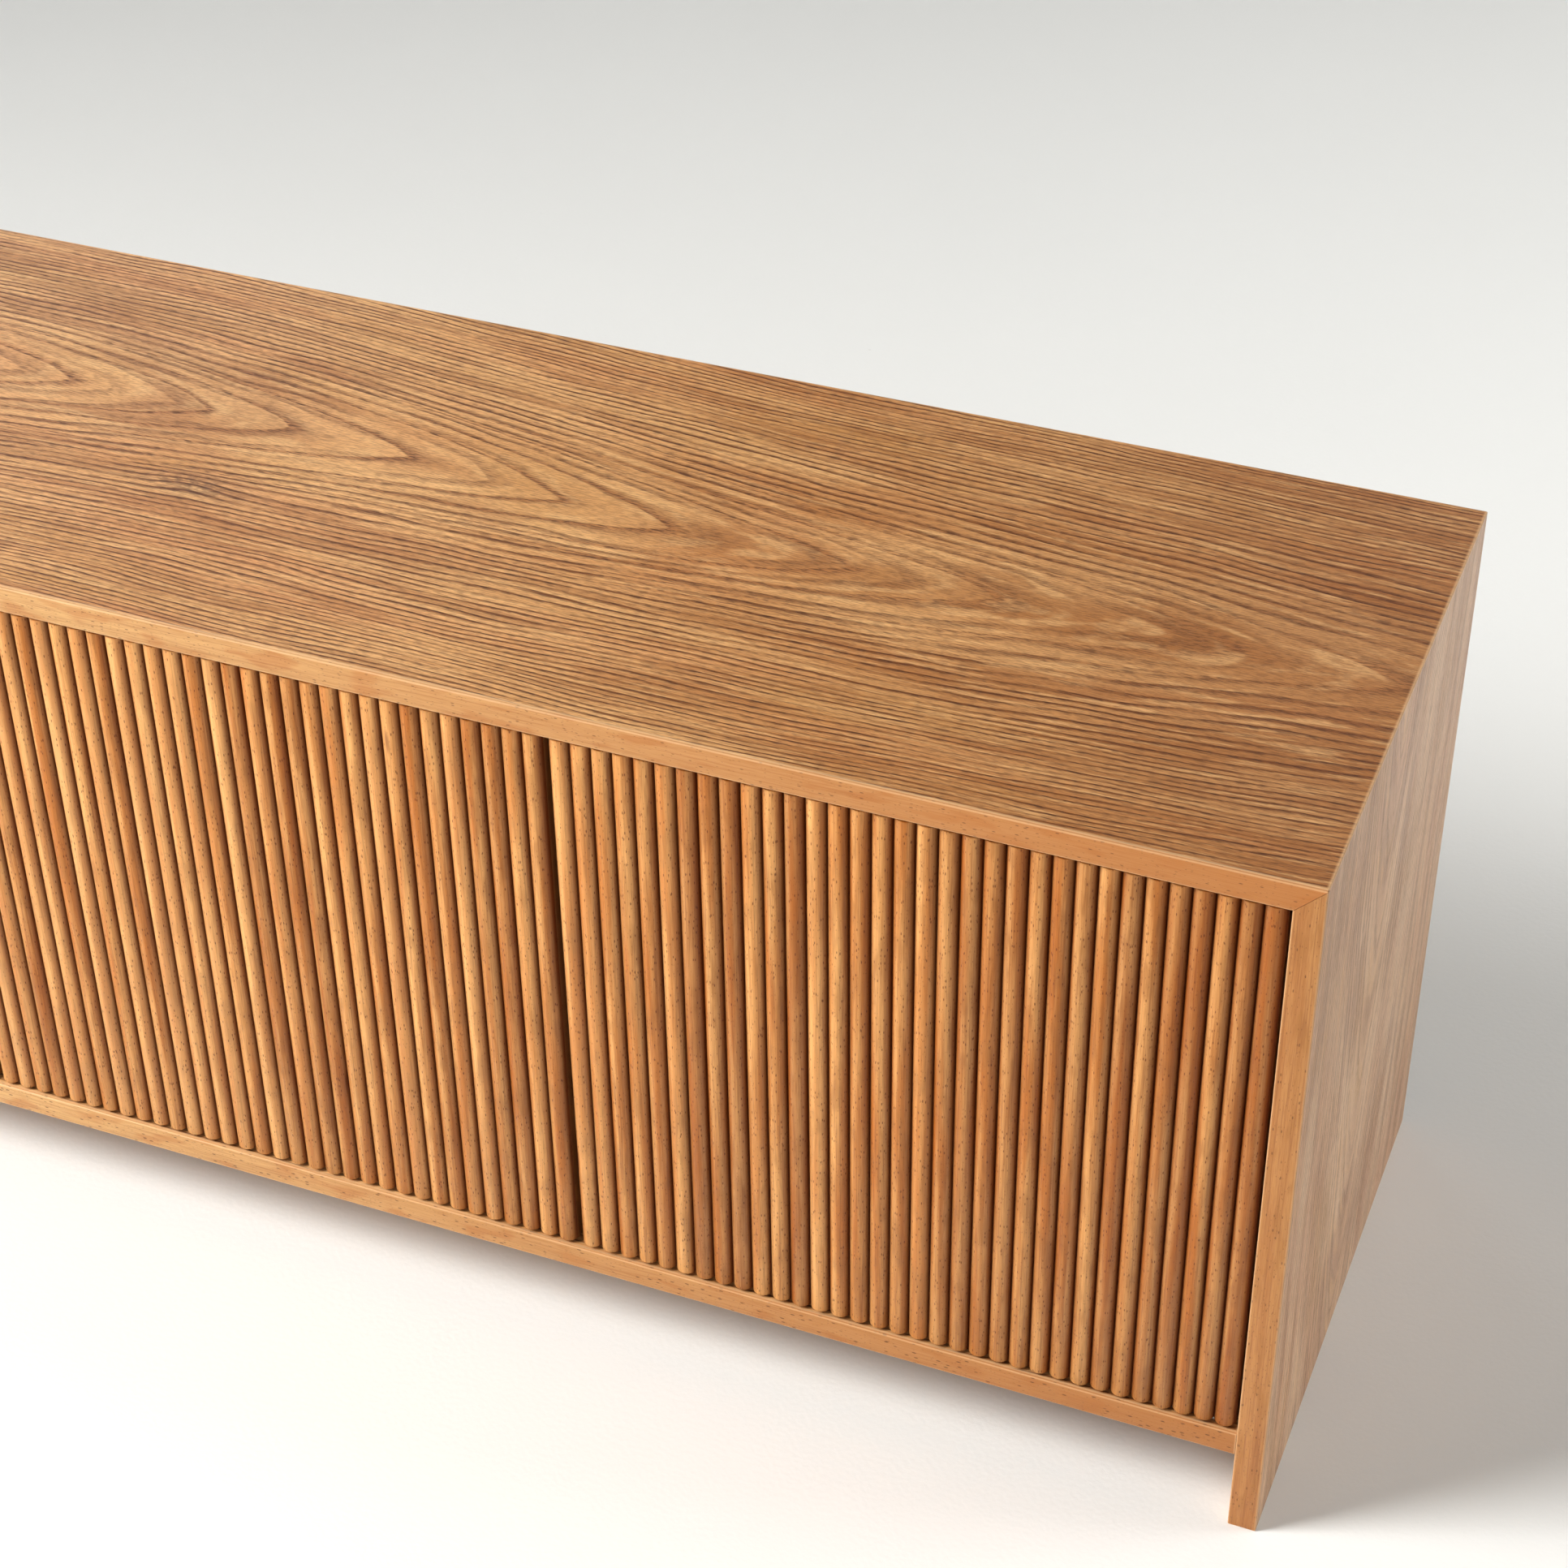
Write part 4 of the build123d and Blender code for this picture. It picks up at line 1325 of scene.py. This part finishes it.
@dataclass(frozen=True)
class SlattedDoor:
    """Door faced with half-round slats: board, bands, slats, pivot bushes and strike plate."""

    number: int
    pitch: float = 13.2 * MM
    # Painted shade in the hollows between slats: shares of the slat's depth between which it darkens.
    painted_groove_shade: tuple[float, float] = (0.06, 0.76)
    gap: float = 0.12 * MM
    land: float = 0.8 * MM
    end_radius: float = 0.9 * MM
    end_play: float = 0.35 * MM
    depth_play: float = 0.02
    # Share of each slat's value that is painted shade, falling off from left to right across the cabinet.
    painted_falloff_share: float = 0.62
    arc_spans: int = 9
    end_spans: int = 2
    bush_length: float = 12 * MM
    bush_mouth: float = 0.3 * MM
    bush_ease: float = 0.05 * MM
    dish_width: float = 0.62
    dish_depth: float = 0.3
    dish_rim: float = 0.45
    board_spread: float = 0.03
    board_contrast: float = 0.8

    @property
    def name(self) -> str:
        """Name of the door's body."""
        return f"door_{self.number}"

    def slat_outline(self, half: float, depth: float) -> Array:
        """Outlines a slat, with its flat back on the board.

        Above two low lands the face is an arc through both of their tops and the crown: with s its height
        and h its half width, its radius is (h h + s s) / 2 s.

        Args:
            half: Half of the slat's width.
            depth: Height of the crown above the board.

        Returns:
            Points (across, above the board), from one back corner round to the other.
        """
        sagitta = depth - self.land
        radius = (half ** 2 + sagitta ** 2) / (2 * sagitta)
        swing = math.asin(half / radius)
        angle = np.linspace(-swing, swing, self.arc_spans + 1)
        arc = np.stack([radius * np.sin(angle), depth - radius + radius * np.cos(angle)], 1)
        return np.concatenate([[[-half, 0.0]], arc, [[half, 0.0]]])[::-1]

    def slats(self) -> tuple[Shell, Array]:
        """Makes every slat of the door, each a little different in length, depth and colour, with painted
        shade that darkens the slats from left to right.

        Returns:
            One shell of all slats, and for each face a value that mixes a random share with painted falloff.
        """
        low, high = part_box(f"{self.name}_slats")
        count = round((high.x - low.x) / self.pitch)
        pitch = (high.x - low.x + self.gap) / count
        random = np.random.default_rng(self.number)
        depth = high.y - low.y
        outline = self.slat_outline((pitch - self.gap) / 2, depth)
        shells, tones_and_falloff = [], []
        for index in range(count):
            play = random.uniform(0, self.end_play, 2)
            stations, insets = eased_ends(low.z + play[0], high.z - play[1], self.end_radius, self.end_spans)
            rows = np.repeat(stations[:, None], len(outline), 1)
            crown = 1 - self.depth_play * random.random()
            slat = carried(outline * (1.0, crown), rows, insets, (0.0, 0.0))
            centre = low.x + (index + 0.5) * pitch - self.gap / 2
            shells.append(slat.placed((centre, high.y, 0), ((1, 0, 0), (0, -1, 0), (0, 0, 1))))
            # Painted shade: most of each slat's value follows its place from left to right, standing in for
            # light falling off.
            reach = (centre - cad_box[0][0]) / (cad_box[1][0] - cad_box[0][0])
            tone_and_falloff = self.painted_falloff_share * reach + (1 - self.painted_falloff_share) * random.random()
            tones_and_falloff.append(np.full(len(slat.faces), tone_and_falloff))
        return joined(shells), np.concatenate(tones_and_falloff)

    def bushes(self) -> Shell:
        """Makes the two pivot bushes, rings with an eased mouth.

        Returns:
            One shell of both, in place.
        """
        low, centre, size = measured(f"{self.name}_pivot_bushes")
        mouth, ease = self.bush_mouth, self.bush_ease
        profile = rounded_box((PIN_BORE, 0), (size.x / 2, self.bush_length), (mouth, ease, ease, mouth))
        bush = turned(profile, ring=True)
        lower = bush.placed((centre.x, centre.y, low.z), UPRIGHT)
        return joined([lower, bush.placed((centre.x, centre.y, low.z + size.z), UPSIDE_DOWN)])

    def strike(self) -> Shell:
        """Makes the strike plate, a disc with a rounded rim and a shallow dish pressed into it.

        Returns:
            Closed shell, in place.
        """
        low, centre, size = measured(f"{self.name}_strike_plate")
        radius, thickness = size.x / 2, size.y
        dish, depth, rim = radius * self.dish_width, thickness * self.dish_depth, thickness * self.dish_rim
        outline = rounded_outline(((radius, 0), (radius, thickness), (0, thickness)), (0, rim, 0))
        profile = np.concatenate([
            [(0.0, 0.0), (radius, 0.0)],
            outline[ARC_POINTS:2 * ARC_POINTS],
            [(dish + depth, thickness), (dish, thickness - depth), (0.0, thickness - depth)],
        ])
        return turned(profile).placed((centre.x, low.y, centre.z), FACING_BACK)

    def build(self) -> None:
        """Makes the slats, bushes and strike plate and dresses the board and its bands."""
        name = self.name
        front, back = (corner.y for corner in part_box(f"{name}_slats"))
        # Depths of the painted shade in the hollows between the slats.
        painted_groove_shade = tuple(front + (back - front) * share for share in self.painted_groove_shade)
        shell, tones_and_falloff = self.slats()
        slats = make_piece(f"{name}_slat_set", shell, tones_and_falloff)
        install(slats, replace(SLAT, painted_groove_shade=painted_groove_shade), name, "beech_slats", f"{name}_slats")
        bushes = make_piece(f"{name}_bush_pair", self.bushes())
        install(bushes, NYLON, name, "nylon", f"{name}_pivot_bushes")
        strike = make_piece(f"{name}_strike_disc", self.strike())
        install(strike, PLAIN_STEEL, name, "strike_steel", f"{name}_strike_plate")
        low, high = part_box(f"{name}_board")
        figure = Figure(centre=(low.x + high.x) / 2, drift=0.0, spread=self.board_spread)
        board = OakVeneer(f"oak_{name}", Grain.UPRIGHT_WIDE, (low, high), figure,
                          contrast=self.board_contrast)
        dress_nodes(board, f"{name}_board")
        # The edge bands take the darker beech of painted shade.
        dress_nodes(PAINTED_SHADE_DOOR_BAND, f"{name}_edge_bands")


@dataclass(frozen=True)
class PushLatch:
    """Push latch under the top panel: moulded housing and sprung plunger."""

    number: int
    ease: float = 0.8 * MM
    shoulder: float = 1 * MM
    tip_length: float = 3 * MM
    face_rings: int = 6

    def plunger(self) -> Shell:
        """Makes the plunger: a stem, and a wider tip with a domed face.

        Returns:
            Closed shell, in place.
        """
        low, centre, size = measured(f"latch_{self.number}_plunger")
        radius, length = size.x / 2, size.y
        stem, tip, ease = radius - self.shoulder, self.tip_length, self.ease / 2
        face = np.linspace(0, 1, self.face_rings)[:, None] * (radius - self.ease, 0)
        outline = rounded_box((0, 0), (radius, tip), (0, self.ease, ease, 0))
        end = [(stem, tip), (stem, length - ease), (stem - ease, length), (0, length)]
        profile = np.concatenate([face, outline[ARC_POINTS:3 * ARC_POINTS], end])
        return turned(profile).placed((centre.x, low.y, centre.z), FACING_BACK)

    def build(self) -> None:
        """Makes the plunger and dresses the housing."""
        name = f"latch_{self.number}_plunger"
        piece = make_piece(f"{name}_stem", self.plunger())
        install(piece, PLUNGER_GREY, f"plunger_{self.number}", "latch_plunger", name)
        dress_nodes(LATCH_GREY, f"latch_{self.number}_housing")


@dataclass(frozen=True)
class Pivots:
    """Steel plates with pins let into the top and bottom panels, and the washers that carry the doors."""

    doors: int
    washer_radius: float = 5.5 * MM
    ease: float = 0.3 * MM

    def washer(self, number: int) -> Shell:
        """Makes one thrust washer, a flat ring with eased arrises, round the pin of its door.

        Args:
            number: Number of the door.

        Returns:
            Closed shell, in place.
        """
        low, _, size = measured("thrust_washers")
        _, centre, _ = measured(f"door_{number}_pivot_bushes")
        profile = rounded_box((PIN_BORE, 0), (self.washer_radius, size.z), (self.ease,) * 4)
        return turned(profile, ring=True).placed((centre.x, centre.y, low.z), UPRIGHT)

    def build(self) -> None:
        """Makes the washers and dresses plates and screws."""
        washers = joined([self.washer(number) for number in range(1, self.doors + 1)])
        install(make_piece("thrust_washer_set", washers), NYLON, "carcass", "nylon", "thrust_washers")
        dress_nodes(NICKEL, "upper_pivot_plates", "lower_pivot_plates")
        dress_nodes(ZINC, "pivot_plate_screws", "latch_screws")


@dataclass(frozen=True)
class Back:
    """Plywood back panels, their screws and the grommets of their cable holes."""

    flange: float = 2 * MM
    lip: float = 5 * MM
    wall: float = 3 * MM
    ease: float = 0.8 * MM
    around: int = 72

    def grommet(self, side: str) -> Shell:
        """Makes a grommet: a sleeve through the panel with a rounded flange inside the bay.

        Args:
            side: Bay that it belongs to, left or right.

        Returns:
            Closed shell, in place.
        """
        low, centre, size = measured(f"{side}_cable_grommet")
        outer, flange, ease = size.x / 2, self.flange, self.ease
        sleeve = outer - self.lip
        bore = sleeve - self.wall
        rim = rounded_box((bore, 0), (outer, flange), (ease, ease, ease / 4, 0))
        mouth = rounded_box((bore, flange), (sleeve, size.y), (0, 0, ease / 2, ease))
        profile = np.concatenate([rim[:3 * ARC_POINTS], mouth[ARC_POINTS:]])
        return turned(profile, self.around, True).placed((centre.x, low.y, centre.z), FACING_BACK)

    def build(self) -> None:
        """Makes the grommets and dresses the panels and screws."""
        for side in ("left", "right"):
            piece = make_piece(f"{side}_grommet_ring", self.grommet(side))
            install(piece, BLACK, "carcass", "grommet_black", f"{side}_cable_grommet")
        dress_nodes(PLYWOOD, "left_back_panel", "right_back_panel")
        dress_nodes(ZINC, "back_panel_screws")


@dataclass(frozen=True)
class CentreLeg:
    """Turned leg that carries the middle of the bottom panel, with its plate and glide."""

    ease: float = 1.5 * MM
    rows: int = 36
    bead_depth: float = 0.6 * MM
    bead_width: float = 1.4 * MM
    bead_place: float = 0.86

    def leg(self) -> Shell:
        """Makes the leg.

        Its radius runs straight from foot to top, less d exp(-u u) for the bead line, where d is the line's
        depth and u the distance from it over its width.

        Returns:
            Closed shell, in place.
        """
        low, _, size = measured("centre_leg")
        top, foot = size.x / 2, measured("centre_leg_glide")[2].x / 2
        length, ease = size.z, self.ease / 2
        height = np.linspace(ease, length - ease, self.rows)
        from_bead = (height - length * self.bead_place) / self.bead_width
        bead = self.bead_depth * np.exp(-from_bead ** 2)
        side = np.stack([foot + (top - foot) * height / length - bead, height], 1)
        profile = np.concatenate([[(0, 0), (foot - ease, 0)], side, [(top - ease, length), (0, length)]])
        return turned(profile).placed((0, 0, low.z), UPRIGHT)

    def glide(self) -> Shell:
        """Makes the glide, a disc with a well rounded lower rim.

        Returns:
            Closed shell, in place.
        """
        low, _, size = measured("centre_leg_glide")
        profile = rounded_box((0, 0), (size.x / 2, size.z), (0, self.ease, self.ease / 4, 0))
        return turned(profile).placed((0, 0, low.z), UPRIGHT)

    def build(self) -> None:
        """Makes the leg and glide and dresses plate and screws."""
        leg, glide = make_piece("centre_leg_turning", self.leg()), make_piece("centre_leg_foot", self.glide())
        install(leg, PLAIN_BEECH, "carcass", "plain_beech", "centre_leg")
        install(glide, BLACK, "carcass", "glide_black", "centre_leg_glide")
        dress_nodes(NICKEL, "centre_leg_plate")
        dress_nodes(ZINC, "centre_leg_screws")


@dataclass(frozen=True)
class Softbox:
    """Square area light that looks at a point."""

    name: str
    place: tuple[float, float, float]
    target: tuple[float, float, float]
    size: float
    power: float
    colour: tuple[float, float, float] = (1.0, 1.0, 1.0)
    spread: float = math.pi

    def build(self) -> None:
        """Hangs the light."""
        lamp = bpy.data.lights.new(self.name, "AREA")
        lamp.shape = "SQUARE"
        lamp.size, lamp.energy, lamp.color, lamp.spread = self.size, self.power, self.colour, self.spread
        box = bpy.data.objects.new(self.name, lamp)
        bpy.context.scene.collection.objects.link(box)
        box.location = self.place
        box.rotation_mode = "QUATERNION"
        box.rotation_quaternion = (Vector(self.target) - Vector(self.place)).to_track_quat("-Z", "Y")


@dataclass(frozen=True)
class Studio:
    """Floor that rises softly all round, soft lights from the left, and the camera."""

    floor_flat: float = 7.0
    floor_reach: float = 11.0
    floor_rise: float = 0.22
    floor_rings: int = 60
    floor_around: int = 96
    wash_count: int = 6
    wash_place: tuple[float, float] = (4.2, 4.2)
    wash_target: tuple[float, float] = (10.5, 1.0)
    wash_size: float = 2.5
    wash_power: float = 140.0
    wash_spread: float = 1.9
    camera_place: tuple[float, float, float] = (1.13602, -1.53021, 1.58858)
    azimuth: float = 22.28
    elevation: float = 37.12
    roll: float = -0.89
    lens: float = 74.22
    sensor: float = 36.0
    sky: Colour = (0.99, 1.0, 0.99, 1.0)
    sky_strength: float = 0.06
    lights: tuple[Softbox, ...] = (
        Softbox("high_left", (-3.2, -2.1, 4.6), (0.5, -0.8, 0.0), 1.8, 47.0, (1.0, 0.995, 0.985), 1.7),
        Softbox("low_left", (-2.8, -2.3, 3.0), (0.6, -1.0, 0.0), 1.6, 92.0, (1.0, 0.995, 0.985), 1.9),
        Softbox("front", (2.0, -3.6, 2.2), (0.6, -0.9, 0.0), 2.0, 6.0, (1.0, 1.0, 1.0), 1.6),
        Softbox("right", (4.2, 1.6, 3.4), (1.5, 1.6, 0.0), 2.0, 22.0, (1.0, 1.0, 0.99), 1.2),
        Softbox("back", (1.2, 4.2, 3.4), (0.6, 1.2, 0.0), 2.4, 9.0, (1.0, 1.0, 0.99), 2.2),
        Softbox("sheen", (-2.6, 3.4, 2.7), (-0.1, 0.1, 0.5), 1.6, 1.8, (1.0, 1.0, 1.0), 1.2),
    )

    def washes(self) -> list[Softbox]:
        """Places lights over the cabinet that look outward, so that the floor's far rim is pale all round.

        Returns:
            The lights.
        """
        lights = []
        for number, angle in enumerate(np.linspace(0, 2 * math.pi, self.wash_count, endpoint=False), 1):
            place, target = (
                (distance * math.cos(angle), distance * math.sin(angle), height)
                for distance, height in (self.wash_place, self.wash_target)
            )
            lights.append(Softbox(f"wash_{number}", place, target, self.wash_size, self.wash_power,
                                  spread=self.wash_spread))
        return lights

    def floor(self) -> None:
        """Makes the floor: flat near the cabinet, its height growing as the square of the distance beyond."""
        radius = self.floor_reach * np.linspace(0, 1, self.floor_rings)
        height = self.floor_rise * np.clip(radius - self.floor_flat, 0, None) ** 2
        piece = make_piece("studio_floor", turned(np.stack([radius, height], 1), self.floor_around))
        dress(piece, PaleFloor())

    def camera(self) -> None:
        """Sets the camera from its place, the direction it looks in and its roll."""
        azimuth, elevation, roll = map(math.radians, (self.azimuth, self.elevation, self.roll))
        level = math.cos(elevation)
        ahead = Vector((-math.sin(azimuth) * level, math.cos(azimuth) * level, -math.sin(elevation)))
        turn = ahead.to_track_quat("-Z", "Y").to_matrix() @ Matrix.Rotation(roll, 3, "Z")
        lens = bpy.data.cameras.new("camera")
        lens.lens, lens.sensor_width = self.lens, self.sensor
        camera = bpy.data.objects.new("camera", lens)
        camera.matrix_world = Matrix.Translation(self.camera_place) @ turn.to_4x4()
        bpy.context.scene.collection.objects.link(camera)
        bpy.context.scene.camera = camera

    def build(self) -> None:
        """Makes the floor, lights, sky and camera."""
        self.floor()
        for light in (*self.lights, *self.washes()):
            light.build()
        world = bpy.data.worlds.new("soft_sky")
        world.use_nodes = True
        background = world.node_tree.nodes["Background"]
        background.inputs["Color"].default_value = self.sky
        background.inputs["Strength"].default_value = self.sky_strength
        bpy.context.scene.world = world
        bpy.context.scene.view_settings.view_transform = "Standard"
        self.camera()


def main() -> None:
    """Builds the cabinet sub-assembly by sub-assembly, then the studio."""
    logging.basicConfig(level=logging.INFO, format="%(name)s: %(message)s")
    doors = sum(name.startswith("door_") for name in frame["bodies"])
    Carcass().dress()
    Edging().build()
    for number in range(1, doors + 1):
        SlattedDoor(number).build()
        PushLatch(number).build()
    Pivots(doors).build()
    Back().build()
    CentreLeg().build()
    Studio().build()


if __name__ == "__main__":
    main()
